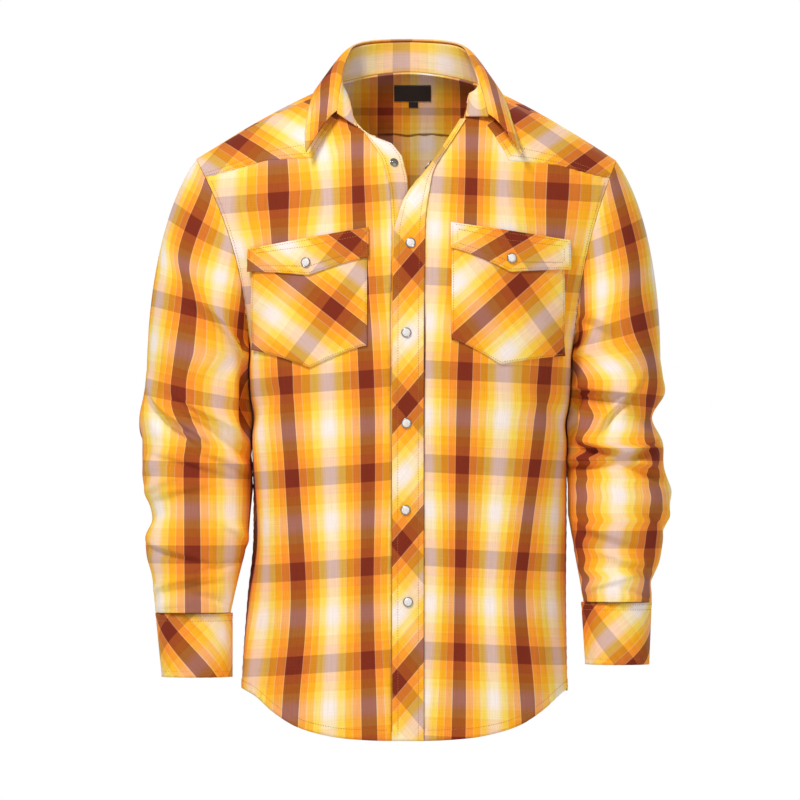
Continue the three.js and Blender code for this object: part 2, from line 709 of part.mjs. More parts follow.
function addTopPlacket() {
  const rows = 44;
  const columns = 4;
  const points = (i, j, distance) => topStripPoint(
    mix(-38, -768, Math.pow(i / rows, 1.35)), j / columns, distance,
  );
  add('placket_top', wall(rows, columns, points, 0, CLOTH), COLOURS.biasCloth);
}

// Patch pocket and flap on one front.
function addPocket(side) {
  const shape = POCKETS[side];
  const rows = 7;
  const columns = 9;
  const pocketPoints = (i, j, distance) => {
    const s = j / columns;
    const x = mix(shape.inner, shape.outer, s);
    const foot = footHeight(x, shape.inner, shape.innerFoot, shape.point, shape.outer, shape.outerFoot);
    const z = mix(shape.top, foot, i / rows);
    const [across, level] = findPlace(side, x, z);
    return onBody(side, across, level, distance + POCKET_EASE * Math.pow(s, 3));
  };
  const pocketInner = CLOTH + LAYER_GAP;
  add(
    `pocket_${sideName(side)}`,
    wall(rows, columns, pocketPoints, pocketInner, pocketInner + CLOTH),
    COLOURS.biasCloth,
  );
  const flapRows = 3;
  const flapColumns = 10;
  const flapPoints = (i, j, distance) => {
    const s = j / flapColumns;
    const x = mix(shape.flapInner, shape.flapOuter, s);
    const top = mix(shape.flapInnerTop, shape.flapOuterTop, s);
    const foot = footHeight(
      x, shape.flapInner, shape.flapInnerFoot, shape.flapPoint, shape.flapOuter, shape.flapOuterFoot,
    );
    const z = mix(top, foot, i / flapRows);
    const [across, level] = findPlace(side, x, z);
    return onBody(side, across, level, distance + POCKET_EASE * Math.pow(s, 3));
  };
  const flapInner = 2 * (CLOTH + LAYER_GAP);
  add(
    `pocket_flap_${sideName(side)}`,
    wall(flapRows, flapColumns, flapPoints, flapInner, flapInner + CLOTH),
    COLOURS.biasCloth,
  );
}

// The height of a pointed lower edge at x.
function footHeight(x, innerX, innerZ, point, outerX, outerZ) {
  const toPoint = (x - innerX) / (point[0] - innerX);
  if (toPoint <= 1) {
    return mix(innerZ, point[1], Math.pow(toPoint, 1.3));
  }
  const fromPoint = (outerX - x) / (outerX - point[0]);
  return mix(outerZ, point[1], Math.pow(fromPoint, 1.3));
}

// The neck seam as points on the body, just above its cloth.
function neckPoint(at) {
  const side = at < 0 ? RIGHT : LEFT;
  const [across, level] = neckPlace(side, Math.abs(at));
  return onBody(side, across, level, CLOTH + SEAM_GAP);
}

// Pushes a collar point away from the neck by a distance.
function awayFromNeck(point, distance) {
  const away = new THREE.Vector3(point.x, point.y - 8, 0).normalize();
  return point.clone().addScaledVector(away, distance);
}

const COLLAR_COLUMNS = 32;

function addCollar() {
  const standRows = 2;
  const rollPoint = (at) => new THREE.Vector3(
    along(COLLAR, 'at', 'rollX', at),
    along(COLLAR, 'at', 'rollY', at),
    along(COLLAR, 'at', 'rollZ', at),
  );
  const edgePoint = (at) => new THREE.Vector3(
    along(COLLAR, 'at', 'edgeX', at),
    along(COLLAR, 'at', 'edgeY', at),
    along(COLLAR, 'at', 'edgeZ', at),
  );
  const standPoints = (i, j, distance) => {
    const at = mix(-2, 2, j / COLLAR_COLUMNS);
    const point = neckPoint(at).lerp(rollPoint(at), i / standRows * 0.97);
    return awayFromNeck(point, distance);
  };
  add('collar_stand', wall(standRows, COLLAR_COLUMNS, standPoints, 0, DOUBLED_CLOTH), COLOURS.biasCloth);
  const leafRows = 5;
  const leafPoints = (i, j, distance) => {
    const at = mix(-2, 2, j / COLLAR_COLUMNS);
    const t = i / leafRows;
    const roll = rollPoint(at);
    const edge = edgePoint(at);
    const crest = awayFromNeck(roll, 9).add(new THREE.Vector3(0, 0, 2));
    const point = new THREE.Vector3()
      .addScaledVector(roll, (1 - t) * (1 - t))
      .addScaledVector(crest, 2 * t * (1 - t))
      .addScaledVector(edge, t * t);
    const lifted = distance * Math.max(0, 1 - t * 6);
    return awayFromNeck(point, distance - lifted + 0.3).add(new THREE.Vector3(0, 0, lifted + 1.2));
  };
  add('collar_leaf', wall(leafRows, COLLAR_COLUMNS, leafPoints, 0, DOUBLED_CLOTH), COLOURS.biasCloth);
}

// A sleeve section as an ellipse: around is 0 on the outer side, 90 in front, 180 inside.
function sectionPoint(side, section, around, grown) {
  const middle = (section.outer + section.inner) / 2;
  const half = (section.outer - section.inner) / 2;
  return new THREE.Vector3(
    side * (middle + (half + grown) * Math.cos(around)),
    section.y - (section.depth + grown) * Math.sin(around),
    section.z,
  );
}

function sleeveFold(side, z, around) {
  let lift = 0;
  for (const fold of SLEEVE_FOLDS) {
    if (fold.side === side) {
      let turned = THREE.MathUtils.radToDeg(around) - fold.around;
      turned -= 360 * Math.round(turned / 360);
      const crosswise = z - fold.z - fold.rise * turned;
      lift += fold.height * Math.exp(-Math.pow(crosswise / fold.width, 2) - Math.pow(turned / fold.spread, 2));
    }
  }
  return lift;
}

// A ring point of the sleeve: first the bridge from the armhole, then the table's sections.
function sleevePoint(side, ring, around, grown) {
  const sections = SLEEVES[side];
  if (ring >= SLEEVE_BRIDGE_STEPS) {
    const section = sections[ring - SLEEVE_BRIDGE_STEPS];
    return sectionPoint(side, section, around, grown + sleeveFold(side, section.z, around));
  }
  const share = around / Math.PI;
  const level = share <= 1 ? share : share - 2;
  const edge = sideEdge(side, level);
  const start = new THREE.Vector3(side * edge.x, edge.y, edge.z);
  const finish = sectionPoint(side, sections[0], around, 0);
  const reach = start.distanceTo(finish);
  const outwards = outward(side, 1, level);
  const leaving = new THREE.Vector3(side, 0, -0.75).normalize().multiplyScalar(reach * 1.1);
  const arriving = new THREE.Vector3(0, 0, -1).multiplyScalar(reach * 0.9);
  const t = ring / SLEEVE_BRIDGE_STEPS;
  const [t2, t3] = [t * t, t * t * t];
  const point = new THREE.Vector3()
    .addScaledVector(start, 2 * t3 - 3 * t2 + 1)
    .addScaledVector(leaving, t3 - 2 * t2 + t)
    .addScaledVector(finish, 3 * t2 - 2 * t3)
    .addScaledVector(arriving, t3 - t2);
  if (ring === 0) {
    point.addScaledVector(new THREE.Vector3(side, 0, -0.75).normalize(), 2 * SEAM_GAP);
  }
  const round = sectionPoint(side, sections[0], around, 1).sub(finish);
  const push = outwards.lerp(round, t).normalize();
  return point.addScaledVector(push, grown);
}

function addSleeve(side) {
  const rings = SLEEVE_BRIDGE_STEPS + SLEEVES[side].length - 1;
  const around = 2 * ARMHOLE_STEPS;
  const points = (i, j, distance) => sleevePoint(side, i, j / around * 2 * Math.PI, distance);
  add(`sleeve_${sideName(side)}`, wall(rings, around, points, 0, CLOTH, true), COLOURS.cloth);
}

// The strip beside the sleeve's slit: the sleeve's own points above the cuff, moved out.
const PLACKET_STEP = 11;
const PLACKET_RINGS = 5;
function addSleevePlacket(side) {
  const around = 2 * ARMHOLE_STEPS;
  const last = SLEEVE_BRIDGE_STEPS + SLEEVES[side].length - 1;
  const inner = CLOTH + LAYER_GAP / 2;
  const points = (i, j, distance) => sleevePoint(
    side, last - PLACKET_RINGS + i, (PLACKET_STEP + j) / around * 2 * Math.PI, distance,
  );
  add(`sleeve_placket_${sideName(side)}`, wall(PLACKET_RINGS, 1, points, inner, inner + CLOTH), COLOURS.cloth);
}

function cuffSection(side, t) {
  const { top, bottom } = CUFFS[side];
  return {
    z: mix(top.z, bottom.z, t),
    outer: mix(top.outer, bottom.outer, t),
    inner: mix(top.inner, bottom.inner, t),
    y: mix(top.y, bottom.y, t),
    depth: mix(top.depth, bottom.depth, t),
  };
}

function cuffLift(turned) {
  return CUFF_LAP_HEIGHT * THREE.MathUtils.smoothstep(turned, 330, 360);
}

function addCuff(side) {
  const rows = 2;
  const points = (i, j, distance) => {
    const turned = (360 + CUFF_LAP) * j / CUFF_STEPS;
    const around = radians(CUFF_START + turned);
    return sectionPoint(side, cuffSection(side, i / rows), around, distance + cuffLift(turned));
  };
  add(`cuff_${sideName(side)}`, wall(rows, CUFF_STEPS, points, 0, DOUBLED_CLOTH), COLOURS.biasCloth);
  const around = radians(CUFF_START + 360 + CUFF_LAP / 2);
  [0.27, 0.73].forEach((t, k) => {
    const section = cuffSection(side, t);
    const seat = sectionPoint(side, section, around, DOUBLED_CLOTH + CUFF_LAP_HEIGHT + LAYER_GAP);
    const facing = sectionPoint(side, section, around, 10).sub(sectionPoint(side, section, around, 0));
    addSnap(`snap_cuff_${sideName(side)}_${k + 1}`, seat, facing.normalize());
  });
}

// A pearl cap in its rim, with its flat back at the seat, turned to face a direction.
function addSnap(name, seat, facing) {
  const profile = [
    [0, 0], [SNAP_RADIUS, 0], [SNAP_RADIUS, 1], [SNAP_RADIUS * 0.86, 1.7], [0, SNAP_HEIGHT],
  ].map(([radius, height]) => new THREE.Vector2(radius, height));
  const cap = add(name, new THREE.LatheGeometry(profile, 12), COLOURS.pearl);
  cap.quaternion.setFromUnitVectors(new THREE.Vector3(0, 1, 0), facing);
  cap.position.copy(seat);
}

function addSnapOnFront(name, side, x, z, distance) {
  const [across, level] = findPlace(side, x, z);
  addSnap(name, onBody(side, across, level, distance), outward(side, across, level));
}

function addFrontSnaps() {
  const strip = 2 * CLOTH + LAYER_GAP + 2 * SEAM_GAP;
  CLOSED_SNAPS.forEach(({ x, z }, i) => addSnapOnFront(`snap_front_${i + 1}`, LEFT, x, z, strip));
  addOpenSnap();
  for (const side of [RIGHT, LEFT]) {
    const [x, z] = POCKETS[side].snap;
    const flap = 3 * CLOTH + 2 * LAYER_GAP + 2 * SEAM_GAP;
    addSnapOnFront(`snap_pocket_${sideName(side)}`, side, x, z, flap);
  }
  const { share, spread } = STUD;
  const down = bandPoint(share + 0.04, spread, CLOTH).sub(bandPoint(share - 0.04, spread, CLOTH));
  const crosswise = bandPoint(share, 1, CLOTH).sub(bandPoint(share, 0, CLOTH));
  const facing = crosswise.cross(down).normalize();
  const seat = bandPoint(share, spread, CLOTH).addScaledVector(facing, SEAM_GAP);
  const profile = [[0, 0], [5, 0], [5, 0.8], [2.4, 1], [2.4, 2.4], [0, 2.4]]
    .map(([radius, height]) => new THREE.Vector2(radius, height));
  const stud = add('stud_front', new THREE.LatheGeometry(profile, 12), COLOURS.steel);
  stud.quaternion.setFromUnitVectors(new THREE.Vector3(0, 1, 0), facing);
  stud.position.copy(seat);
}

// The snap on the part of the top strip that is turned inwards.
function addOpenSnap() {
  const place = (below, beyond) => topStripPoint(OPEN_SNAP_Z - below, OPEN_SNAP_SPREAD + beyond, CLOTH);
  const crosswise = place(0, 0.1).sub(place(0, -0.1));
  const down = place(SNAP_RADIUS, 0).sub(place(-SNAP_RADIUS, 0));
  const facing = crosswise.cross(down).normalize();
  addSnap('snap_open', place(0, 0).addScaledVector(facing, OPEN_SNAP_GAP), facing);
}

// The bare label and its tab, inside the back neck.
function addLabel(name, x, z, width, height) {
  const rows = 1;
  const columns = 4;
  const points = (i, j, distance) => {
    const here = x + width * (j / columns - 0.5);
    const [across, level] = findPlace(LEFT, here, z - height * (i / rows - 0.5), -0.4);
    return onBody(LEFT, across, level, distance);
  };
  add(name, wall(rows, columns, points, -LAYER_GAP - 0.8, -LAYER_GAP), COLOURS.label);
}

for (const side of [RIGHT, LEFT]) {
  addFront(side);
  addFrontYoke(side);
  addSleeve(side);
  addSleevePlacket(side);
  addCuff(side);
  addPocket(side);
}
addBack();
addBackYoke();
addUnderBand();
addTopPlacket();
addCollar();
addFrontSnaps();
addLabel('label', 5.5, -1.5, LABEL_WIDTH, LABEL_HEIGHT);
addLabel('label_tab', 6.5, -15, 11, 7);

export default shirt;
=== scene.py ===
"""The western snap shirt in its woven check, in the form it has when worn.

Lengths in the tables are millimetres and everything made from them is in metres. The front
faces -Y, +X is the wearer's left and +Z is up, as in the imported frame.
"""

import math

import bmesh
import bpy
import numpy as np
from mathutils import Matrix, Vector


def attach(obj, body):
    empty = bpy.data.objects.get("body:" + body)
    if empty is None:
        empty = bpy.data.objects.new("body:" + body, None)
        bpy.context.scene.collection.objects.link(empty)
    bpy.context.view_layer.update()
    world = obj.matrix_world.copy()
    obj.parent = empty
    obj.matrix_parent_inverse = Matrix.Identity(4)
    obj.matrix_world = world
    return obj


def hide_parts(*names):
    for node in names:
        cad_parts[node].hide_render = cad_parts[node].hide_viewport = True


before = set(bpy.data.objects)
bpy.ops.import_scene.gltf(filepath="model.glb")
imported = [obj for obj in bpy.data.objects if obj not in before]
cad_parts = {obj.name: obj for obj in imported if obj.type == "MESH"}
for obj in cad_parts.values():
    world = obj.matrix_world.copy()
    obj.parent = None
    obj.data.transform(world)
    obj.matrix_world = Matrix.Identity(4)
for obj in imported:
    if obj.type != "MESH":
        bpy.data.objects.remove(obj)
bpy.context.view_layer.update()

MM = 0.001
RIGHT = -1
LEFT = 1
SIDE_NAMES = {RIGHT: "right", LEFT: "left"}

# The picture's scale: pixels are counted from its top left corner, and this turns them to mm.
PIXEL = 1.18
MIDDLE_PIXEL = (408, 88)

CLOTH = 1.2
DOUBLED_CLOTH = 2.0
LAYER_GAP = 0.9
SEAM_GAP = 0.3
UNDERARM_Z = -298
SIDE_HEM_Z = -710
FRONT_ROUNDNESS = 2.8
SIDE_CROWDING = 1.25
ARMHOLE_DEPTH = 62
NECK_HALF_WIDTH = 72
NECK_BACK_LEVEL = -0.25
SNAP_RADIUS = 5.6

# Lengths along the cloth of whole pieces, by which puckers and stitches are laid out.
FRONT_LENGTH = 690
BACK_LENGTH = 680
BACK_WIDTH = 480
PLACKET_LENGTH = 760
BAND_WIDTH = 36
STRIP_WIDTH = 37
COLLAR_LENGTH = 420
STAND_HEIGHT = 34
LEAF_DEPTH = 55
SLEEVE_LENGTH = 520
CUFF_LENGTH = 300
CUFF_DEPTH = 76

# Rows of stitches, in mm from an edge of their piece.
HEM_ROW = 9.5
YOKE_ROW = 6.5
BAND_ROWS = (5, 32)
STRIP_ROWS = (6.5, 30.5)
EDGE_ROW = 2.2
FLAP_ROW = 8
LEAF_ROW = 5.5
CUFF_ROWS = (9, 69)
CUFF_EDGE_ROW = 3

# One repeat of the check across (warp) and along (weft), with the maroon bar's middle at 0.
WARP_REPEAT = 100.0
WEFT_REPEAT = 110.0

# Level, then the y and z of the body's middle line. Levels run over the shoulder: 0 on its
# ridge, 1 at the underarm and 2 at the side hem in front, and the same below zero behind.
MIDDLE_LINE = np.array([
    (-2.2, 116, -792.4), (-2, 113, -710), (-1.75, 108, -607), (-1.5, 106, -504),
    (-1.25, 108, -401), (-1, 115, -298), (-0.85, 114, -205), (-0.7, 108, -125),
    (-0.55, 98, -60), (-0.4, 84, -8), (-0.25, 62, 21), (-0.12, 34, 25), (0, 0, 16),
    (0.12, -34, 2), (0.25, -60, -24), (0.4, -84, -68), (0.55, -101, -118), (0.7, -113, -170),
    (0.85, -121, -232), (1, -126, -298), (1.25, -124, -401), (1.5, -120, -504),
    (1.75, -119, -607), (2, -122, -710), (2.2, -124, -792.4),
])

# Level, how far the section turns before its side edge in degrees, and how late it drops.
SECTION_TURN = np.array([
    (0, 50, 1.63), (0.25, 55, 1.8), (0.5, 62, 2), (0.75, 75, 2.2), (1, 90, 2), (2.2, 90, 2),
])

# Level, then the half widths at the right and left side seams.
SIDE_SEAM = np.array([
    (1, 188, 196), (1.25, 184, 188), (1.57, 182, 186.5), (1.74, 189, 186), (2, 196, 187.5),
    (2.2, 197, 188),
])
SIDE_SEAM_COLUMN = {RIGHT: 1, LEFT: 2}

# Shoulder tip x and z, underarm x, and how far the armhole bows in.
SHOULDERS = {RIGHT: (250, -84, 188, 14), LEFT: (246, -86, 196, 10)}

# Face (-1 front, 1 back), x, z, length, width, height and lean in degrees of each soft fold:
# a ridge where the height is over 0, a trough under it. The first twelve are the solids' own.
BODY_FOLDS = np.array([
    (-1, -172, -376, 70, 12, -4, 40), (-1, -140, -560, 260, 20, 4, -4),
    (-1, -176, -590, 240, 15, -5, -3), (-1, -70, -640, 200, 18, 3, 3),
    (-1, 172, -380, 70, 12, -4, -36), (-1, 120, -600, 240, 20, 4, 5),
    (-1, 62, -640, 200, 16, -3, 2), (1, -120, -480, 330, 18, 5, 6),
    (1, -55, -430, 300, 17, -5, 3), (1, 12, -520, 340, 18, 5, 0),
    (1, 74, -450, 320, 17, -5, -4), (1, 135, -520, 300, 18, 5, -6),
    (-1, -100, -470, 150, 11, 1.6, -10), (-1, -118, -655, 130, 10, -1.8, 6),
    (-1, -40, -520, 220, 9, -1.2, 2), (-1, -92, -690, 110, 9, 1.8, -5),
    (-1, 90, -480, 160, 11, -1.5, 8), (-1, 150, -650, 150, 10, 2.0, 3),
    (-1, 96, -690, 110, 9, -1.8, -4), (-1, 40, -600, 200, 9, 1.2, -2),
    (-1, -150, -130, 90, 13, -1.6, 28), (-1, 158, -140, 90, 13, -1.6, -26),
    (-1, -100, -150, 110, 14, 1.2, 24), (-1, 92, -150, 110, 13, 1.0, -20),
    (-1, -182, -300, 90, 9, -2.0, 30), (-1, 184, -300, 90, 9, -2.0, -28),
    (1, -150, -260, 160, 12, -2.5, 26), (1, 150, -260, 160, 12, -2.5, -26),
    (1, -30, -640, 180, 13, 2.5, 4), (1, 60, -660, 170, 12, -2.5, -3),
    (1, -92, -650, 170, 11, -2.2, 5), (1, 110, -330, 140, 12, 2.0, -12),
])

# Half the neck seam on each side, from the shoulder ridge to the end of the stand.
NECK_FRONT = {
    RIGHT: [(-71, -8), (-67, -20), (-63, -36), (-59, -47)],
    LEFT: [(71, -8), (69, -18), (67, -28), (66, -35)],
}
YOKE_NECK_POINT = 1
BAND_FREE_EDGE = [
    (-48, -55.5), (-19, -65), (-7, -79), (-1, -103), (1, -128), (10, -165), (16.5, -190), (16.5, -768),
]
BAND_SEWN_EDGE = [
    (-62, -40), (-45, -62), (-30, -84), (-21, -120), (-19, -160), (-19, -190), (-19, -768),
]
TOP_FRONT_EDGE = [
    (66, -35), (57, -52), (51, -60), (33, -88), (26, -102), (21, -131), (18.5, -184), (17.6, -768),
]
YOKE_SEAM = {RIGHT: [(-113, -84), (-166, -86)], LEFT: [(119, -87), (178, -92)]}
# The shares of that seam's length at its four corners, and the level where it meets the armhole.
YOKE_SEAM_STOPS = [0, 0.3, 0.6, 1]
YOKE_ARMHOLE_LEVEL = 0.2

# Distance from the middle, then the hem's height in front and behind.
HEM = np.array([
    (0, -769, -765), (50, -768, -764), (90, -764, -760), (130, -753, -748), (158, -736, -732),
    (180, -718, -716), (200, -708, -708),
])
YOKE_LAP = 0.006
BACK_YOKE_SEAM = np.array([(0, -0.525), (0.15, -0.505), (0.35, -0.475), (0.7, -0.44), (1, -0.4)])
# The back yoke is two layers, with the back's top edge between them.
YOKE_CLOTH = 2.6
YOKE_SUNK = 0.9

# At (-2 at the right end of the stand, 0 at the back, 2 at the left end), then x, y, z of the
# roll and of the leaf's outer edge.
COLLAR = np.array([
    (-2, -83, -68, -30, -119, -98, -77), (-1.5, -79, -44, 2, -119, -70, -48),
    (-1, -72, -6, 35, -108, -4, -2), (-0.5, -57, 42, 54, -82, 60, 8), (0, 0, 68, 59, 0, 87, 12),
    (0.5, 57, 42, 54, 82, 60, 8), (1, 73, -6, 35, 108, -4, -4), (1.5, 86, -42, 0, 124, -64, -50),
    (2, 94, -62, -34, 133, -96, -80),
])

# The sleeves' level sections: z, outermost x, innermost x, middle y and half depth.
SLEEVES = {
    RIGHT: np.array([
        (-332, 308, 191, 3, 70), (-361, 312, 190, 2, 67), (-389, 317, 190, 0, 65),
        (-417, 314, 190, -2, 62), (-446, 313, 190, -5, 61), (-474, 310, 190, -8, 60),
        (-503, 303, 191, -12, 57), (-528, 309, 192, -16, 57), (-552, 308, 196, -20, 54),
        (-574, 302, 201, -24, 51), (-596, 299, 206, -27, 48), (-619, 297, 211, -30, 45),
    ]),
    LEFT: np.array([
        (-319, 298, 199, 3, 70), (-340, 301, 196, 2, 68), (-361, 303, 194, 1, 66),
        (-389, 288, 193, -2, 62), (-417, 301, 192, -6, 62), (-446, 301, 192, -10, 61),
        (-476, 310, 193, -14, 60), (-503, 306, 194, -18, 57), (-531, 301, 197, -23, 54),
        (-559, 296, 201, -28, 51), (-583, 287, 205, -32, 48), (-606, 287, 209, -35, 45),
    ]),
}
SLEEVE_BRIDGE_STEPS = 7
SLEEVE_CLEARANCE = 1.8
# How far out and down a sleeve sets off from the shoulder, how far it keeps to that, and how far
# to the way straight down in which it reaches its first level section.
SLEEVE_LEAVES_OUT = 0.55
SLEEVE_LEAVES_DOWN = 0.75
SLEEVE_LEAVING = 0.85
SLEEVE_ARRIVING = 0.9
# The armhole's level from which a sleeve sets off more and more straight down.
SLEEVE_HANGS_FROM = 0.72
# How far a sleeve may lie inside its clearance at the underarm, and the depth where that ends.
UNDERARM_LET_IN = 3
UNDERARM_LET_IN_DEPTH = 5

# z, angle round (0 outside, 90 in front, 180 inside), width above and below its line, spread in
# degrees, height, and rise in mm for each degree. The first four on each side are the solids'
# folds, and the first three of those are lower here.
SLEEVE_FOLDS = {
    RIGHT: np.array([
        (-430, 60, 11, 11, 60, 3, 0.5), (-500, 40, 12, 12, 60, -4, 0.3),
        (-330, 130, 14, 14, 50, -2, 0.5), (-470, 260, 13, 13, 60, 6, -0.3),
        (-386, 66, 15, 3.5, 36, 9, -0.78), (-402, 66, 4, 10, 36, -7.5, -0.78),
        (-391, 114, 15, 3.5, 40, 9.5, -0.62), (-407, 114, 4, 10, 40, -7.5, -0.62),
        (-290, 136, 12, 3.5, 30, 7, -0.7), (-304, 134, 4, 10, 32, -8, -0.7),
        (-372, 158, 36, 30, 11, -12, 0.2), (-370, 138, 34, 28, 10, 5, 0.2),
        (-262, 100, 16, 6, 34, 3.5, -0.6), (-276, 98, 6, 12, 34, -3.5, -0.6),
        (-438, 124, 10, 4, 46, 5, -0.35), (-449, 90, 4, 10, 44, -5, -0.3),
        (-470, 36, 10, 5, 34, 4.5, 0.35), (-482, 60, 4, 8, 40, -4, 0.2),
        (-526, 150, 10, 4, 36, 4, -0.4), (-545, 60, 9, 4, 44, 4, -0.25),
        (-553, 70, 4, 7, 44, -3, -0.25), (-566, 120, 4, 6, 40, -3.5, 0.2),
        (-583, 60, 8, 3.5, 44, 4, 0.2), (-590, 80, 3.5, 6, 44, -3, 0.15),
        (-603, 120, 5, 4, 40, -3, -0.2), (-611, 50, 5, 4, 34, 2.6, 0.1),
        (-400, 240, 14, 4, 50, 9, 0.5), (-414, 240, 4, 9, 50, -7, 0.5),
        (-440, 300, 10, 4, 44, 6, 0.6), (-452, 300, 4, 8, 44, -5, 0.6),
        (-520, 250, 10, 5, 50, -5, 0.3), (-580, 270, 7, 4, 60, 4, -0.3),
        (-340, 260, 13, 6, 50, 5, 0.6), (-352, 262, 6, 9, 50, -4, 0.6),
        (-440, 182, 90, 90, 26, 4.8, 0), (-322, 178, 16, 26, 22, 5, 0),
        (-410, 216, 110, 75, 24, 14, 0), (-311, 190, 14, 18, 40, 10, 0),
    ]),
    LEFT: np.array([
        (-395, 60, 11, 11, 60, -2, 0.3), (-432, 70, 12, 12, 70, 2, 0.2),
        (-540, 80, 12, 12, 60, -3, 0.5), (-470, 260, 13, 13, 60, 6, -0.3),
        (-355, 118, 17, 3, 44, 11, 0.1), (-368, 118, 3.5, 10, 42, -6, 0.1),
        (-381, 94, 9, 4, 26, 5, -1.2), (-393, 94, 4, 8, 26, -7, -1.2),
        (-421, 112, 10, 3.5, 38, 7, 0.2), (-431, 113, 3.5, 7, 36, -7, 0.2),
        (-424, 60, 9, 3.5, 26, 6, -0.3), (-433, 62, 3.5, 7, 26, -6.5, -0.3),
        (-438, 132, 6, 3.5, 46, 6, 0), (-447, 132, 3.5, 8, 45, -7, 0),
        (-443, 58, 7, 3.5, 26, 6, 0.33), (-453, 60, 3.5, 8, 26, -7, 0.33),
        (-388, 157, 26, 26, 11, -11, 0), (-386, 137, 24, 22, 10, 4.5, 0),
        (-262, 130, 14, 4, 30, 7, 0.5), (-276, 132, 5, 10, 30, -7, 0.5),
        (-500, 26, 12, 5, 30, 5, 0.3), (-512, 30, 4, 8, 34, -4.5, 0.3),
        (-524, 110, 12, 5, 44, 4, 0.3), (-536, 110, 5, 8, 40, -3.5, 0.3),
        (-556, 80, 8, 4, 44, 3.5, 0.25), (-570, 60, 4, 7, 44, -3.5, 0.2),
        (-584, 110, 7, 3.5, 46, 3.5, -0.2), (-597, 50, 4, 5, 36, -3, 0.2),
        (-400, 240, 14, 4, 50, 9, -0.5), (-414, 240, 4, 9, 50, -7, -0.5),
        (-440, 300, 10, 4, 44, 6, -0.6), (-452, 300, 4, 8, 44, -5, -0.6),
        (-520, 250, 10, 5, 50, -5, 0.3), (-570, 270, 7, 4, 60, 4, -0.3),
        (-340, 260, 13, 6, 50, 5, -0.6), (-352, 262, 6, 9, 50, -4, -0.6),
        (-440, 182, 90, 90, 26, 4.8, 0), (-314, 178, 16, 26, 22, 5, 0),
        (-410, 216, 110, 75, 24, 14, 0), (-309, 190, 14, 18, 40, 10, 0),
    ]),
}

# The cuffs' two edges: z, outer x, inner x, middle y and half depth.
CUFFS = {
    RIGHT: np.array([(-619.6, 296.5, 212, -30, 39), (-695, 289, 212, -36, 37)]),
    LEFT: np.array([(-606.6, 286, 209.5, -35, 39), (-680, 283, 214, -42, 37)]),
}
CUFF_START = 190
CUFF_LAP = 36
CUFF_LAP_HEIGHT = 3.2

# Pocket: inner and outer x, top z, foot z inside, point, foot z outside. Flap: inner and outer
# x, top z inside and outside, foot z inside, point, foot z outside. Last, the snap's place.
POCKETS = {
    RIGHT: {
        "bag": (-48, -182, -190, -190, -304, (-115, -330), -309),
        "flap": (-46, -186, -166, -190, -201, (-115, -222), -216),
        "snap": (-118, -207),
    },
    LEFT: {
        "bag": (51, 182, -188, -188, -297, (108, -326), -316),
        "flap": (50, 189, -160, -180, -190, (119, -218), -214),
        "snap": (120, -202),
    },
}
POCKET_EASE = 1.3

CLOSED_SNAPS = [(3, -184), (-2, -289), (-2, -395), (-3, -497), (0, -605)]
OPEN_SNAP_Z = -88
OPEN_SNAP_SPREAD = 0.78
STUD_SHARE = 0.217
STUD_SPREAD = 0.5

# Depth below the shoulders, the top strip's sewn edge, the width of its flat part, its whole
# width, and how far the rest is turned inwards.
TOP_EDGE = np.array([
    (36, 69, 6, 30, 84), (60, 54, 6, 32, 80), (88, 35.5, 6, 32, 78), (100, 29.5, 9, 30, 74),
    (111, 27, 13, 27, 62), (123, 25, 16, 28, 40), (135, 23, 17.5, 29.5, 15), (150, 21, 18, 32, 4),
    (170, 20, 18, 36, 0), (300, 18.5, 18, 37, 0), (780, 18.5, 18, 37, 0),
])
BAND_SUNK = 11
BAND_SUNK_AT = 0.3
BAND_SUNK_SPREAD = 0.16

# Where the check lies. z, then the x of the inner and of the outer maroon stripe of a front.
FRONT_STRIPES = {
    RIGHT: np.array([
        (-770, -45, -138), (-723, -46, -136), (-604, -48, -127), (-463, -47, -136),
        (-368, -48, -143), (-236, -54, -149), (-109, -59, -153), (0, -60, -156),
    ]),
    LEFT: np.array([
        (-770, 59, 141), (-722, 60, 139), (-604, 61, 130), (-545, 62, 135), (-392, 65, 156),
        (-132, 74, 176), (0, 76, 180),
    ]),
}
# How much wider the stripes lie below the waist, where a front turns to its side seam.
SIDE_STRIPE_EASE = 0.35
# The z where a weft bar's middle meets the placket, and how far it falls per mm outwards.
FRONT_WEFT = {RIGHT: (-450, 0.075), LEFT: (-441, 0.05)}

# z, then the x of the sleeve's maroon stripe and the slant of the weft there.
SLEEVE_STRIPES = {
    RIGHT: np.array([
        (-620, -253, 0.0), (-540, -254, 0.0), (-440, -255, 0.04), (-416, -253, 0.07),
        (-380, -268, 0.15), (-351, -271, 0.24), (-303, -265, 0.26), (-262, -260, 0.25),
        (-238, -260, 0.28), (-203, -266, 0.4), (-168, -257, 0.5), (-126, -240, 0.55),
        (-90, -230, 0.55),
    ]),
    LEFT: np.array([
        (-604, 281, 0.0), (-533, 287, 0.0), (-486, 294, 0.0), (-462, 290, 0.0), (-434, 293, 0.0),
        (-418, 287, 0.0), (-395, 284, -0.06), (-368, 287, -0.12), (-342, 290, 0.03),
        (-317, 287, 0.18), (-286, 277, 0.28), (-250, 270, 0.3), (-205, 268, 0.35),
        (-150, 256, 0.45), (-114, 246, 0.5), (-90, 240, 0.5),
    ]),
}
# z where weft bars cross the sleeve's stripe, then how many repeats along the cloth that is.
SLEEVE_WEFT = {
    RIGHT: np.array([
        (-640, 4.75), (-549, 4), (-450, 3), (-362, 2), (-258, 1), (-162, 0), (-60, -1),
    ]),
    LEFT: np.array([
        (-640, 4.95), (-532, 4), (-430, 3), (-371, 2), (-277, 1), (-173, 0), (-60, -1),
    ]),
}

# How much wider the stripes lie on the inner side of the upper arm.
INNER_ARM_EASE = 0.3

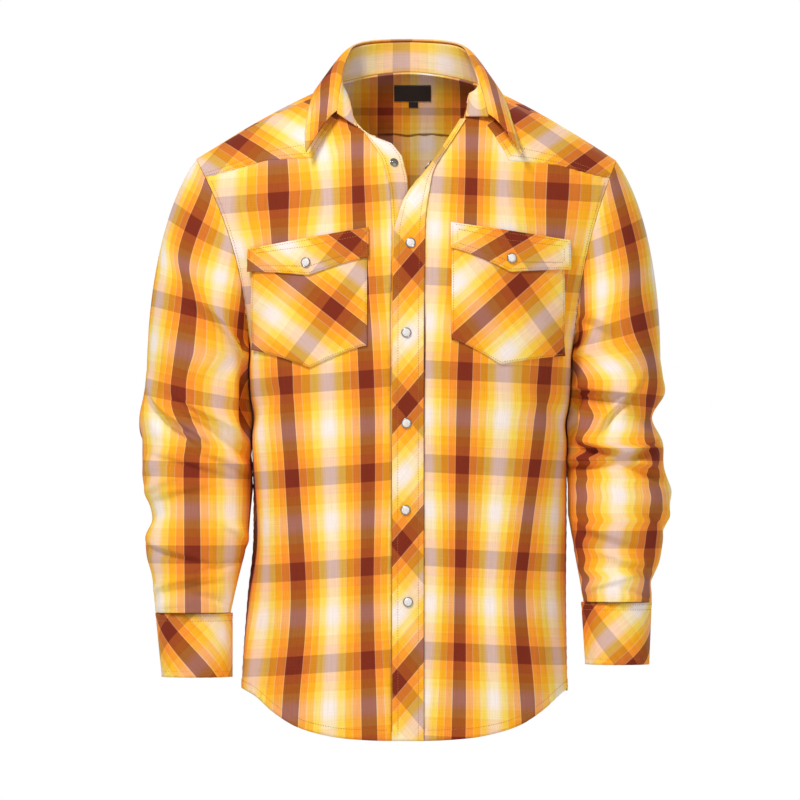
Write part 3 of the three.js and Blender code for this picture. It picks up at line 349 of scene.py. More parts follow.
# z on the middle of the back, then how far down the cloth that is, and how much cloth there is
# to a millimetre of height below that.
BACK_WEFT = np.array([
    (-99, 99.2), (-70, 64), (-52, 43), (-27.5, 10.7), (-18.5, -10.8), (13, -50), (60, -100),
])
BACK_WEFT_BELOW = 1.04
# The x of a maroon stripe on the back and of a maroon bar round the collar.
BACK_STRIPE_X = -27
COLLAR_BAR_X = -8
# A maroon stripe of the closing's under band, in mm from its free edge, and the z of a bar.
BAND_STRIPE = 58
BAND_BAR_Z = -122

# Bias pieces: the pixel where two maroon bars cross, and the directions of warp and weft there,
# in degrees above level to the viewer's right.
BIAS = {
    "front_yoke_right": ((236, 140), -35, 50),
    "front_yoke_left": ((515, 115), 38, -38),
    "pocket_right": ((333.5, 309.2), -38.3, 53),
    "pocket_left": ((517.8, 285.6), 42, -54),
    "pocket_flap_right": ((349.8, 240.9), -37.5, 50),
    "pocket_flap_left": ((515.7, 236.7), 31, -56),
    "placket_top": ((407, 404), 50, -50),
    "cuff_right": ((168, 630), -46, 44),
    "cuff_left": ((587, 608), 44, -46),
}


# The form of the shirt's body, read at many places at once.

def along(table, column, place):
    """Reads a column of a table at places along its first column, on a smooth curve."""
    keys = table[:, 0]
    values = table[:, column]
    place = np.asarray(place, float)
    row = np.clip(np.searchsorted(keys, place) - 1, 0, len(keys) - 2)
    before = np.maximum(np.arange(len(keys)) - 1, 0)
    after = np.minimum(np.arange(len(keys)) + 1, len(keys) - 1)
    slopes = (values[after] - values[before]) / (keys[after] - keys[before])
    span = keys[row + 1] - keys[row]
    whole = (place - keys[row]) / span
    t = np.clip(whole, 0, 1)
    t2, t3 = t * t, t * t * t
    curve = values[row] * (2 * t3 - 3 * t2 + 1) + slopes[row] * span * (t3 - 2 * t2 + t)
    curve = curve + values[row + 1] * (3 * t2 - 2 * t3) + slopes[row + 1] * span * (t3 - t2)
    beyond = np.where(whole > 1, (whole - 1) * slopes[row + 1], np.minimum(whole, 0) * slopes[row])
    return curve + beyond * span


def mix(a, b, t):
    return a + (b - a) * t


def smooth(value, low, high):
    t = np.clip((value - low) / (high - low), 0, 1)
    return t * t * (3 - 2 * t)


def point(x, y, z):
    return np.stack(np.broadcast_arrays(x, y, z), axis=-1).astype(float)


def unit(vectors):
    return vectors / np.maximum(np.linalg.norm(vectors, axis=-1, keepdims=True), 1e-9)


def along_corners(corners, t):
    """Places at shares t of the length of a list of corners."""
    corners = np.asarray(corners, float)
    lengths = np.linalg.norm(np.diff(corners, axis=0), axis=1)
    stops = np.concatenate([[0], np.cumsum(lengths)]) / lengths.sum()
    return np.stack([np.interp(t, stops, corners[:, k]) for k in (0, 1)], axis=-1)


def side_edge(side, level):
    """The body's side edge: the armhole down to the underarm, then the side seam."""
    tip_x, tip_z, under_x, bow = SHOULDERS[side]
    depth = np.abs(level)
    angle = np.pi * np.minimum(depth, 1)
    fall = (1 - np.cos(angle)) / 2
    bulge = np.sin(angle)
    below = depth >= 1
    seam_x = along(SIDE_SEAM, SIDE_SEAM_COLUMN[side], np.maximum(depth, 1))
    x = np.where(below, seam_x, mix(tip_x, under_x, fall) - bow * bulge * bulge)
    y = np.where(below, 2.0, 2 * fall - np.sign(level) * ARMHOLE_DEPTH * bulge)
    z = np.where(below, mix(UNDERARM_Z, SIDE_HEM_Z, depth - 1), mix(tip_z, UNDERARM_Z, fall))
    return x, y, z


def roundness(angle):
    rest = np.maximum(1 - np.abs(np.sin(angle)) ** FRONT_ROUNDNESS, 0)
    return rest ** (1 / FRONT_ROUNDNESS)


def body_form(side, across, level):
    """The bare form of the body: across is 0 on the middle line and 1 at the side edge."""
    edge_x, edge_y, edge_z = side_edge(side, level)
    turn = np.radians(np.minimum(along(SECTION_TURN, 1, np.abs(level)), 90))
    drop = along(SECTION_TURN, 2, np.abs(level))
    left = 1 - across
    angle = turn * (1 - np.sign(left) * np.abs(left) ** SIDE_CROWDING)
    width = np.sin(angle) / np.sin(turn)
    depth = (1 - roundness(angle)) / (1 - roundness(turn))
    y = mix(along(MIDDLE_LINE, 1, level), edge_y, depth)
    z = mix(along(MIDDLE_LINE, 2, level), edge_z, np.abs(width) ** drop)
    return point(side * edge_x * width, y, z)


def outward(side, across, level):
    step = 0.004
    ahead = np.minimum(across + step, 1)
    crosswise = body_form(side, ahead, level) - body_form(side, ahead - 2 * step, level)
    downwards = body_form(side, across, level + step) - body_form(side, across, level - step)
    return unit(np.cross(crosswise, downwards)) * -side


def body_fold(points):
    """How far the folds lift the cloth at points of the body."""
    face = np.where(points[..., 1] < 0, -1, 1)
    lift = np.zeros(points.shape[:-1])
    for side, x, z, length, width, height, lean in BODY_FOLDS:
        lean = math.radians(lean)
        dx, dz = points[..., 0] - x, points[..., 2] - z
        lengthwise = dz * math.cos(lean) + dx * math.sin(lean)
        crosswise = dx * math.cos(lean) - dz * math.sin(lean)
        ends = (2 * lengthwise / length) ** 4
        lift += np.where(face == side, height * np.exp(-(crosswise / width) ** 2 - ends), 0)
    return lift


def on_body(side, across, level, distance):
    """Points of the body's cloth, moved out by a distance."""
    points = body_form(side, across, level)
    lift = body_fold(points) + distance
    return points + outward(side, across, level) * np.asarray(lift)[..., None]


def find_place(side, x, z, start_level=None):
    """The places (across, level) on the body that are seen at x, z from the front."""
    x, z = np.broadcast_arrays(np.asarray(x, float), np.asarray(z, float))
    across = np.abs(x) / 200 * np.sign(x * side)
    level = np.maximum(0.05, -z / 300) if start_level is None else np.full(x.shape, start_level)
    step = 0.002
    for _ in range(14):
        here = body_form(side, across, level)
        beside = (body_form(side, across + step, level) - here) / step
        below = (body_form(side, across, level + step) - here) / step
        a, b, c, d = beside[..., 0], below[..., 0], beside[..., 2], below[..., 2]
        determinant = a * d - b * c
        miss_x, miss_z = x - here[..., 0], z - here[..., 2]
        across = across + np.clip((d * miss_x - b * miss_z) / determinant, -0.15, 0.15)
        level = level + np.clip((a * miss_z - c * miss_x) / determinant, -0.15, 0.15)
    return np.stack([across, level], axis=-1)


def places_of(side, corners):
    corners = np.array(corners, float)
    return find_place(side, corners[:, 0], corners[:, 1])


def patch(top, bottom, start, end, s, t):
    """Places between four edge curves, each a function of 0 to 1."""
    zero, one = np.zeros_like(s), np.ones_like(s)
    s1, t1 = s[..., None], t[..., None]
    corners = mix(mix(top(zero), top(one), s1), mix(bottom(zero), bottom(one), s1), t1)
    return mix(top(s), bottom(s), t1) + mix(start(t), end(t), s1) - corners


def ridge_neck(side):
    return NECK_HALF_WIDTH / abs(float(body_form(side, np.array(1.0), np.array(0.0))[0])) * 1.08


def neck_front_places(side):
    first = np.array([[ridge_neck(side), 0.0]])
    return np.concatenate([first, places_of(side, NECK_FRONT[side])])


def neck_place(side, at):
    """The neck seam: at is 0 at the middle of the back, 1 on the ridge, 2 at the stand's end."""
    angle = np.minimum(at, 1) * np.pi / 2
    behind = np.stack([ridge_neck(side) * np.sin(angle), NECK_BACK_LEVEL * np.cos(angle)], axis=-1)
    ahead = along_corners(neck_front_places(side), np.clip(at - 1, 0, 1))
    return np.where((at <= 1)[..., None], behind, ahead)


def yoke_seam(side, t):
    corners = np.concatenate([
        places_of(side, [NECK_FRONT[side][YOKE_NECK_POINT], *YOKE_SEAM[side]]),
        [[1, YOKE_ARMHOLE_LEVEL]],
    ])
    return np.stack([np.interp(t, YOKE_SEAM_STOPS, corners[:, k]) for k in (0, 1)], axis=-1)


def yoke_neck_share(side):
    lengths = np.linalg.norm(np.diff(neck_front_places(side), axis=0), axis=1)
    return lengths[:YOKE_NECK_POINT + 1].sum() / lengths.sum()


def hem_place(side, face, across):
    """The hem's level at a share across: face is 1 in front and -1 behind."""
    width = np.abs(body_form(side, across, np.full_like(across, 2.0 * face))[..., 0])
    z = along(HEM, 1 if face == 1 else 2, np.minimum(width, 200))
    return face * (1 + (z - UNDERARM_Z) / (SIDE_HEM_Z - UNDERARM_Z))


# Surfaces of the pieces. Each takes s across and t down, from 0 to 1, and a distance outwards.

def puckers(along_seam, from_seam, seed, depth=0.35, wave=13.0, reach=9.0):
    """The small waves that sewing leaves beside a seam."""
    wander = 0.6 * np.sin(along_seam / 37.0 + seed) + 0.4 * np.sin(along_seam / 19.0 + 2.1 * seed)
    waves = np.sin(2 * np.pi * along_seam / wave + 2.2 * wander + seed)
    return depth * waves * (0.6 + 0.4 * wander) * np.exp(-np.abs(from_seam) / reach)


def groove(place, row, depth=0.3, width=1.1):
    """How a row of stitches draws the cloth in, as a height below 0."""
    return -depth * np.exp(-((place - row) / width) ** 2)


def side_levels(tenths):
    """Levels evenly spread down a panel's side: the armhole from its tenths, then the seam."""
    return np.concatenate([np.arange(tenths, 11) / 10, 1 + np.arange(1, 14) / 13 * 0.995])


def front_surface(side):
    edge = BAND_SEWN_EDGE if side == RIGHT else TOP_FRONT_EDGE
    inner = places_of(side, [NECK_FRONT[side][YOKE_NECK_POINT], *edge])
    levels = side_levels(2)
    stops = np.linspace(0, 1, len(levels))
    last = inner[-1][0]

    def start(t):
        level = mix(inner[0][1], inner[-1][1], t ** 1.15)
        return np.stack([np.interp(level, inner[:, 1], inner[:, 0]), level], axis=-1)

    def bottom(s):
        across = mix(last, 1, s)
        return np.stack([across, hem_place(side, 1, across)], axis=-1)

    def end(t):
        return np.stack([np.ones_like(t), np.interp(t, stops, levels)], axis=-1)

    def surface(s, t, distance):
        places = patch(lambda k: yoke_seam(side, k), bottom, start, end, s, t)
        across, level = places[..., 0], places[..., 1]
        down, up = t * FRONT_LENGTH, (1 - t) * FRONT_LENGTH
        sewn = puckers(down, s * 190, 1.0 + side, 0.3, 15)
        sewn += puckers(down, (1 - s) * 210, 2.0, 0.5, 14)
        sewn += puckers(s * 200, down, 3.0, 0.4, 13) + hem_relief(up, s * 200, 4.0)
        return on_body(side, across, level, distance + sewn)

    return surface


def hem_relief(from_hem, along_hem, seed):
    """A turned hem: the doubled edge stands proud and its row of stitches draws it in."""
    doubled = 0.5 * (1 - smooth(from_hem, 9, 12))
    drawn_in = groove(from_hem, HEM_ROW, 0.35, 1.4)
    return doubled + drawn_in + puckers(along_hem, from_hem - 6, seed, 0.45, 11, 8)


def front_yoke_surface(side):
    neck_share = yoke_neck_share(side)
    ridge = ridge_neck(side)

    def surface(s, t, distance):
        places = patch(
            lambda k: np.stack([mix(ridge, 1, k), np.zeros_like(k)], axis=-1),
            lambda k: yoke_seam(side, k),
            lambda k: neck_place(side, 1 + neck_share * k),
            lambda k: np.stack([np.ones_like(k), YOKE_ARMHOLE_LEVEL * k], axis=-1),
            s, t,
        )
        across, level = places[..., 0], places[..., 1]
        from_seam = (1 - t) * mix(26, 70, s)
        sewn = puckers(s * 190, from_seam, 5.0, 0.3, 12)
        return on_body(side, across, level, distance + sewn + groove(from_seam, YOKE_ROW))

    return surface


def back_place(s):
    """Across and side of a share over the whole back, from right to left."""
    side = np.where(s < 0.5, RIGHT, LEFT)
    share = np.abs(s - 0.5) * 2
    return side, share


def on_back(s, level, distance):
    side, across = back_place(s)
    right = on_body(RIGHT, across, level, distance)
    left = on_body(LEFT, across, level, distance)
    return np.where((side == RIGHT)[..., None], right, left)


def back_yoke_top(across):
    ridge = (ridge_neck(RIGHT) + ridge_neck(LEFT)) / 2
    inside = np.clip(1 - (across / ridge) ** 2, 0, 1)
    return NECK_BACK_LEVEL * np.sqrt(inside)


def back_yoke_surface(s, t, distance):
    across = back_place(s)[1]
    top = back_yoke_top(across)
    bottom = along(BACK_YOKE_SEAM, 1, across) - YOKE_LAP
    height = (top - bottom) * 250
    from_seam = (1 - t) * height
    sewn = puckers(s * BACK_WIDTH, from_seam, 6.0, 0.3, 13)
    relief = distance + sewn + groove(from_seam, YOKE_ROW) - YOKE_SUNK
    return on_back(s, mix(top, bottom, t), relief)


def back_surface(s, t, distance):
    side, across = back_place(s)
    top = along(BACK_YOKE_SEAM, 1, across)
    bottom = np.where(side == RIGHT, hem_place(RIGHT, -1, across), hem_place(LEFT, -1, across))
    levels = side_levels(4)
    reached = np.interp(t, np.linspace(0, 1, len(levels)), levels)
    share = (reached - levels[0]) / (levels[-1] - levels[0])
    level = mix(top, bottom, share)
    down = share * BACK_LENGTH
    edge = np.minimum(s, 1 - s) * 560
    sewn = puckers(down, edge, 7.0, 0.5, 14) + puckers(s * BACK_WIDTH, down, 8.0, 0.6, 16, 16)
    sewn += hem_relief(BACK_LENGTH - down, s * 400, 9.0)
    return on_back(s, level, distance + sewn)


def band_edges():
    free = places_of(RIGHT, [NECK_FRONT[RIGHT][3], *BAND_FREE_EDGE])
    shifted = [(x + 0.4, z) for x, z in [NECK_FRONT[RIGHT][2], *BAND_SEWN_EDGE]]
    return free, places_of(RIGHT, shifted)


BAND_EDGES = band_edges()


def place_by_share(places, share):
    opened = along_corners(places[:-1], np.clip(share * 2, 0, 1))
    straight = along_corners(places[-2:], np.clip(share * 2 - 1, 0, 1))
    return np.where((share < 0.5)[..., None], opened, straight)


def band_surface(s, t, distance):
    """The strip under the closing: s runs from its free edge to its sewn edge."""
    free, sewn = BAND_EDGES
    place = mix(place_by_share(free, t), place_by_share(sewn, t), s[..., None])
    sinking = np.exp(-((t - BAND_SUNK_AT) / BAND_SUNK_SPREAD) ** 2)
    sunk = (1 - s) * BAND_SUNK * sinking
    length, inside = t * PLACKET_LENGTH, s * BAND_WIDTH
    sewing = puckers(length, inside, 10.0, 0.35, 11, 6) + groove(inside, BAND_ROWS[0], 0.25)
    return on_body(RIGHT, place[..., 0], place[..., 1], distance - sunk + sewing)


def strip_point(z, s, distance):
    """Points of the top strip: s runs from its sewn edge over the ridge to its free edge."""
    sewn, flat, width = (along(TOP_EDGE, column, -z) for column in (1, 2, 3))
    turned = np.radians(along(TOP_EDGE, 4, -z))
    past = (width - flat) * np.maximum(s * 2 - 1, 0)
    faces = turned * smooth(s, 0.42, 0.58)
    x = sewn - flat * np.minimum(s * 2, 1) - past * np.cos(turned) - distance * np.sin(faces)
    depth = past * np.sin(turned) - distance * np.cos(faces)
    place = find_place(LEFT, x, z)
    return on_body(LEFT, place[..., 0], place[..., 1], CLOTH + LAYER_GAP - depth)


def top_placket_surface(s, t, distance):
    z = mix(-38, -768, t ** 1.2)
    inside = s * STRIP_WIDTH
    relief = puckers(-z, inside, 11.0, 0.4, 12, 6)
    relief = relief + puckers(-z, (1 - s) * STRIP_WIDTH, 12.5, 0.4, 13, 6)
    for row in STRIP_ROWS:
        relief = relief + groove(inside, row, 0.35)
    return strip_point(z, s, distance + relief)


def foot_height(x, inner_x, inner_z, tip, outer_x, outer_z):
    to_point = (x - inner_x) / (tip[0] - inner_x)
    from_point = (outer_x - x) / (outer_x - tip[0])
    inner = mix(inner_z, tip[1], np.clip(to_point, 0, 1) ** 1.3)
    outer = mix(outer_z, tip[1], np.clip(from_point, 0, 1) ** 1.3)
    return np.where(to_point <= 1, inner, outer)


def pocket_surface(side, kind):
    """A patch pocket's bag or flap: s runs outwards and t down."""
    inner_x, outer_x, inner_top, outer_top, inner_foot, tip, outer_foot = POCKETS[side][kind]
    base = CLOTH + LAYER_GAP if kind == "bag" else 2 * (CLOTH + LAYER_GAP)
    width = abs(outer_x - inner_x)

    def surface(s, t, distance):
        x = mix(inner_x, outer_x, s)
        top = mix(inner_top, outer_top, s)
        foot = foot_height(x, inner_x, inner_foot, tip, outer_x, outer_foot)
        z = mix(top, foot, t)
        place = find_place(side, x, z)
        edges = np.stack([s * width, (1 - s) * width, (1 - t) * (top - foot)])
        if kind == "flap":
            edges = np.concatenate([edges, (t * (top - foot))[None]])
        nearest = edges.min(axis=0)
        relief = groove(nearest, EDGE_ROW, 0.3, 0.9)
        if kind == "flap":
            relief = relief + groove(nearest, FLAP_ROW, 0.3, 1.0)
        relief = relief + puckers(x + 0.8 * z, nearest, 13.0 + side, 0.3, 12, 6)
        ease = POCKET_EASE * s ** 3
        return on_body(side, place[..., 0], place[..., 1], distance + base + ease + relief)

    return surface


def neck_point(at):
    side = np.where(at < 0, RIGHT, LEFT)
    rows = []
    for one in (RIGHT, LEFT):
        place = neck_place(one, np.abs(at))
        rows.append(on_body(one, place[..., 0], place[..., 1], CLOTH + SEAM_GAP))
    return np.where((side == RIGHT)[..., None], rows[0], rows[1])


def away_from_neck(points, distance):
    away = unit(point(points[..., 0], points[..., 1] - 8, 0))
    return points + away * np.asarray(distance)[..., None]


def collar_line(first, at):
    return point(along(COLLAR, first, at), along(COLLAR, first + 1, at), along(COLLAR, first + 2, at))


def stand_surface(s, t, distance):
    """The collar's stand: s runs round the neck from the right end, t up from the seam."""
    at = mix(-2, 2, s)
    points = mix(neck_point(at), collar_line(1, at), (t * 0.97)[..., None])
    waves = puckers(s * COLLAR_LENGTH, t * STAND_HEIGHT, 14.0, 0.3, 17, 12)
    return away_from_neck(points, distance + waves)


def leaf_surface(s, t, distance):
    """The collar's leaf: t runs from the roll out to the edge."""
    at = mix(-2, 2, s)
    roll = collar_line(1, at)
    edge = collar_line(4, at)
    crest = away_from_neck(roll, np.full(at.shape, 9.0)) + point(0, 0, 2)
    t1 = t[..., None]
    points = roll * (1 - t1) ** 2 + crest * 2 * t1 * (1 - t1) + edge * t1 ** 2
    lifted = distance * np.maximum(0, 1 - t * 6)
    inside = (1 - t) * LEAF_DEPTH
    nearest = np.minimum(np.minimum(s, 1 - s) * COLLAR_LENGTH, inside)
    relief = groove(nearest, LEAF_ROW, 0.35, 1.0)
    relief = relief + puckers(s * COLLAR_LENGTH, inside, 15.0, 0.4, 15, 8)
    points = away_from_neck(points, distance - lifted + 0.3 + relief)
    return points + point(0, 0, lifted + 1.2)


def section_point(side, section, around, grown):
    z, outer, inner, y, depth = section
    half = (outer - inner) / 2
    x = side * ((outer + inner) / 2 + (half + grown) * np.cos(around))
    return point(x, y - (depth + grown) * np.sin(around), z)


def sleeve_fold(side, z, around):
    lift = np.zeros(np.broadcast(z, around).shape)
    for fold_z, fold_around, above, below, spread, height, rise in SLEEVE_FOLDS[side]:
        turned = np.degrees(around) - fold_around
        turned = turned - 360 * np.round(turned / 360)
        crosswise = z - fold_z - rise * turned
        width = np.where(crosswise > 0, above, below)
        lift += height * np.exp(-(crosswise / width) ** 2 - (turned / spread) ** 2)
    return lift


def sleeve_sections(side, ring):
    table = np.column_stack([np.arange(len(SLEEVES[side])), SLEEVES[side]])
    return [along(table, k, ring) for k in range(1, 6)]


def sleeve_point(side, ring, around, grown):
    """A sleeve point: ring 0 is at the armhole, and the level sections follow the bridge."""
    below = np.maximum(ring - SLEEVE_BRIDGE_STEPS, 0)
    section = sleeve_sections(side, below)
    lower = section_point(side, section, around, grown)

    share = (around / np.pi) % 2
    level = np.where(share <= 1, share, share - 2)
    edge = side_edge(side, level)
    start = point(side * edge[0], edge[1], edge[2])
    first = sleeve_sections(side, np.zeros_like(ring))
    finish = section_point(side, first, around, 0)
    reach = np.linalg.norm(start - finish, axis=-1, keepdims=True)
    hanging = smooth(np.abs(level), SLEEVE_HANGS_FROM, 1.0)
    leaving_way = unit(point(side * SLEEVE_LEAVES_OUT * (1 - hanging), 0, -SLEEVE_LEAVES_DOWN))
    leaving = leaving_way * reach * SLEEVE_LEAVING
    arriving = np.array([0, 0, -1.0]) * reach * SLEEVE_ARRIVING
    t = np.clip(ring / SLEEVE_BRIDGE_STEPS, 0, 1)[..., None]
    t2, t3 = t * t, t * t * t
    bridge = start * (2 * t3 - 3 * t2 + 1) + leaving * (t3 - 2 * t2 + t)
    bridge = bridge + finish * (3 * t2 - 2 * t3) + arriving * (t3 - t2)
    # The sleeve starts two seam gaps from the armhole, which is gone after one ring.
    bridge = bridge + leaving_way * 2 * SEAM_GAP * np.exp(-ring * 4)[..., None]
    leaving_out = outward(side, np.ones_like(level), level)
    round_out = unit(section_point(side, first, around, 1) - finish)
    push = unit(mix(leaving_out, round_out, np.maximum(t, hanging[..., None])))
    bridge = bridge + push * np.asarray(grown)[..., None]
    return np.where((ring >= SLEEVE_BRIDGE_STEPS)[..., None], lower, bridge)


def body_reach(side):
    """How far out the body's cloth reaches beside a sleeve, by height and by depth."""
    levels = np.linspace(1, 1.85, 60)
    depths = np.linspace(-105, 100, 42)
    across = np.linspace(0.55, 1, 60)
    rows = []
    for level in levels:
        ahead = on_body(side, across, np.full_like(across, level), CLOTH)
        behind = on_body(side, across[::-1], np.full_like(across, -level), CLOTH)
        outline = np.concatenate([ahead, behind])
        rows.append(np.interp(depths, outline[:, 1], side * outline[:, 0]))
    return mix(UNDERARM_Z, SIDE_HEM_Z, levels - 1), depths, np.array(rows)


def table_value(heights, depths, values, z, y):
    """Reads a table of values by height and depth, between its evenly spaced rows and columns."""
    row = np.clip((z - heights[0]) / (heights[1] - heights[0]), 0, len(heights) - 1.001)
    column = np.clip((y - depths[0]) / (depths[1] - depths[0]), 0, len(depths) - 1.001)
    i, j = row.astype(int), column.astype(int)
    upper = mix(values[i, j], values[i, j + 1], column - j)
    lower = mix(values[i + 1, j], values[i + 1, j + 1], column - j)
    return mix(upper, lower, row - i)


def sleeve_surface(side):
    last = SLEEVE_BRIDGE_STEPS + len(SLEEVES[side]) - 1
    beside = body_reach(side)

    def clear_of_body(points):
        """Moves points out where they would lie in the body: the sleeve hangs against it."""
        y, z = points[..., 1], points[..., 2]
        below = smooth(-z, -UNDERARM_Z, -UNDERARM_Z + UNDERARM_LET_IN_DEPTH)
        let_in = UNDERARM_LET_IN * (1 - below)
        reach = table_value(*beside, z, y) + SLEEVE_CLEARANCE - let_in
        nearest = np.where(z < UNDERARM_Z, reach, -np.inf)
        moved = points.copy()
        moved[..., 0] = side * np.maximum(side * points[..., 0], nearest)
        return moved

    def surface(s, t, distance):
        ring = t * last
        around = (s - 0.5) * 2 * np.pi
        bare = sleeve_point(side, ring, around, np.zeros_like(ring))
        lift = sleeve_fold(side, bare[..., 2], around)
        # Folds grow from the armhole on, troughs sooner than ridges, and are low at the cuff.
        lift = np.where(lift > 0, lift * smooth(t, 0.03, 0.2), lift * smooth(t, 0.0, 0.16))
        taper = 1 - 0.75 * smooth(t, 0.965, 1)
        seam = puckers(np.abs(s - 0.5) * 420, t * SLEEVE_LENGTH, 16.0 + side, 0.7, 15, 9)
        gathers = puckers(s * CUFF_LENGTH, (1 - t) * SLEEVE_LENGTH, 18.0 + side, 1.0, 17, 22)
        grown = distance + lift * taper + seam + gathers
        return clear_of_body(sleeve_point(side, ring, around, grown))

    return surface


def sleeve_placket_surface(side):
    last = SLEEVE_BRIDGE_STEPS + len(SLEEVES[side]) - 1
    sleeve = sleeve_surface(side)

    def surface(s, t, distance):
        ring = last - 5 + t * 5
        around = (11 + s) / 20 - 0.5
        return sleeve(around, ring / last, distance + CLOTH + LAYER_GAP / 2)

    return surface


def cuff_surface(side):
    top, bottom = CUFFS[side]

    def surface(s, t, distance):
        turned = (360 + CUFF_LAP) * s
        around = np.radians(CUFF_START + turned)
        section = [mix(top[k], bottom[k], t) for k in range(5)]
        lift = CUFF_LAP_HEIGHT * smooth(turned, 330, 360)
        length, down = s * CUFF_LENGTH, t * CUFF_DEPTH
        relief = puckers(length, down, 20.0 + side, 0.5, 16, 9)
        relief = relief + puckers(length, (1 - t) * CUFF_DEPTH, 22.0, 0.5, 14, 9)
        for row in CUFF_ROWS:
            relief = relief + groove(down, row, 0.35)
        return section_point(side, section, around, distance + lift + relief)

    return surface


def label_surface(x, z, width, height):
    def surface(s, t, distance):
        place = find_place(LEFT, x + width * (s - 0.5), z - height * (t - 0.5), -0.4)
        return on_body(LEFT, place[..., 0], place[..., 1], distance - LAYER_GAP - 0.8)

    return surface


# How the check lies on each piece: charts give each point its place on the flat cloth, in mm.

def chest_length(z):
    """Length of cloth down the middle of the front to a height."""
    front = MIDDLE_LINE[MIDDLE_LINE[:, 0] >= 0]
    steps = np.hypot(np.diff(front[:, 1]), np.diff(front[:, 2]))
    length = np.concatenate([[0], np.cumsum(steps)])
    return np.interp(-np.asarray(z), -front[:, 2], length)


def row_lengths(points):
    steps = np.linalg.norm(np.diff(points, axis=1), axis=2)
    return np.concatenate([np.zeros((len(points), 1)), np.cumsum(steps, axis=1)], axis=1)


def crossing(lengths, gaps):
    """The length at which each row's gap to a stripe changes sign."""
    found = []
    for length, gap in zip(lengths, gaps):
        order = np.argsort(gap)
        found.append(np.interp(0, gap[order], length[order]))
    return np.array(found)[:, None]


def front_chart(side):
    def chart(points):
        x, z = points[..., 0], points[..., 2]
        lengths = row_lengths(points)
        inner = crossing(lengths, side * (x - along(FRONT_STRIPES[side], 1, z)))
        outer = crossing(lengths, side * (x - along(FRONT_STRIPES[side], 2, z)))
        u = (lengths - inner) / (outer - inner) * WARP_REPEAT
        u = u - SIDE_STRIPE_EASE * smooth(-z, 430, 570) * np.maximum(u - WARP_REPEAT, 0)
        bar_z, fall = FRONT_WEFT[side]
        v = chest_length(z + fall * np.abs(x)) - chest_length(bar_z)
        return u, v

    return chart


def bias_chart(name):
    (pixel_x, pixel_y), warp, weft = BIAS[name]
    anchor_x = (pixel_x - MIDDLE_PIXEL[0]) * PIXEL
    anchor_z = (MIDDLE_PIXEL[1] - pixel_y) * PIXEL
    warp, weft = math.radians(warp), math.radians(weft)

    def chart(points):
        dx = points[..., 0] - anchor_x
        dz = chest_length(anchor_z) - chest_length(points[..., 2])
        u = -dx * math.sin(warp) + dz * math.cos(warp)
        v = -dx * math.sin(weft) + dz * math.cos(weft)
        return u, v

    return chart


def strip_chart(points):
    unrolled = points.copy()
    unrolled[..., 0] = points[:, :1, 0] - row_lengths(points)
    return bias_chart("placket_top")(unrolled)


def back_chart(points):
    z = points[..., 2]
    lengths = row_lengths(points)
    stripe = crossing(lengths, points[..., 0] - BACK_STRIPE_X)
    beyond = np.minimum(z - BACK_WEFT[0, 0], 0) * -BACK_WEFT_BELOW
    return lengths - stripe, np.interp(z, BACK_WEFT[:, 0], BACK_WEFT[:, 1]) + beyond


def band_chart(points):
    down = chest_length(points[..., 2]) - chest_length(BAND_BAR_Z)
    return BAND_STRIPE - row_lengths(points), down


def sleeve_chart(side):
    def chart(points):
        x, z = points[..., 0], points[..., 2]
        lengths = row_lengths(points)
        columns = points.shape[1]
        front = slice(columns // 2, columns)
        gaps = side * (along(SLEEVE_STRIPES[side], 1, z[:, front]) - x[:, front])
        start = crossing(lengths[:, front], gaps)
        slant = along(SLEEVE_STRIPES[side], 2, z)
        inward = (along(SLEEVE_STRIPES[side], 1, z) - x) * side
        level = z + slant * inward
        eased = 1 - INNER_ARM_EASE * smooth(z, -350, -310)
        u = (lengths - start) * np.where(lengths > start, eased, 1)
        return u, np.interp(level, SLEEVE_WEFT[side][:, 0], SLEEVE_WEFT[side][:, 1]) * WEFT_REPEAT

    return chart


def cuff_chart(side):
    name = f"cuff_{SIDE_NAMES[side]}"
    (pixel_x, pixel_y), warp, weft = BIAS[name]
    anchor_x = (pixel_x - MIDDLE_PIXEL[0]) * PIXEL
    anchor_z = (MIDDLE_PIXEL[1] - pixel_y) * PIXEL
    warp, weft = math.radians(warp), math.radians(weft)

    def chart(points):
        lengths = row_lengths(points)
        columns = points.shape[1]
        front = slice(int(columns * 0.44), int(columns * 0.88))
        start = crossing(lengths[:, front], side * (anchor_x - points[:, front, 0]))
        dx = (lengths - start) * -side
        dz = points[..., 2] - anchor_z
        u = -dx * math.sin(warp) + dz * math.cos(warp)
        v = -dx * math.sin(weft) + dz * math.cos(weft)
        return u, v

    return chart


def stand_chart(points):
    lengths = row_lengths(points)
    bar = crossing(lengths, points[..., 0] - COLLAR_BAR_X)
    rows = np.linspace(0, 1, len(points))[:, None]
    return 38 + 32 * rows, lengths - bar


def leaf_chart(points):
    lengths = row_lengths(points)
    bar = crossing(lengths, points[..., 0] - COLLAR_BAR_X)
    steps = np.linalg.norm(np.diff(points, axis=0), axis=2)
    down = np.concatenate([np.zeros((1, points.shape[1])), np.cumsum(steps, axis=0)])
    return 70 + down, (lengths - bar) * 0.8


def plain_chart(points):
    return points[..., 0], points[..., 2]


# Making meshes

def new_object(name, bm, material, smooth_faces=True):
    mesh = bpy.data.meshes.new(name)
    bm.to_mesh(mesh)
    bm.free()
    mesh.materials.append(material)
    mesh.polygons.foreach_set("use_smooth", [smooth_faces] * len(mesh.polygons))
    obj = bpy.data.objects.new(name, mesh)
    bpy.context.collection.objects.link(obj)
    return obj


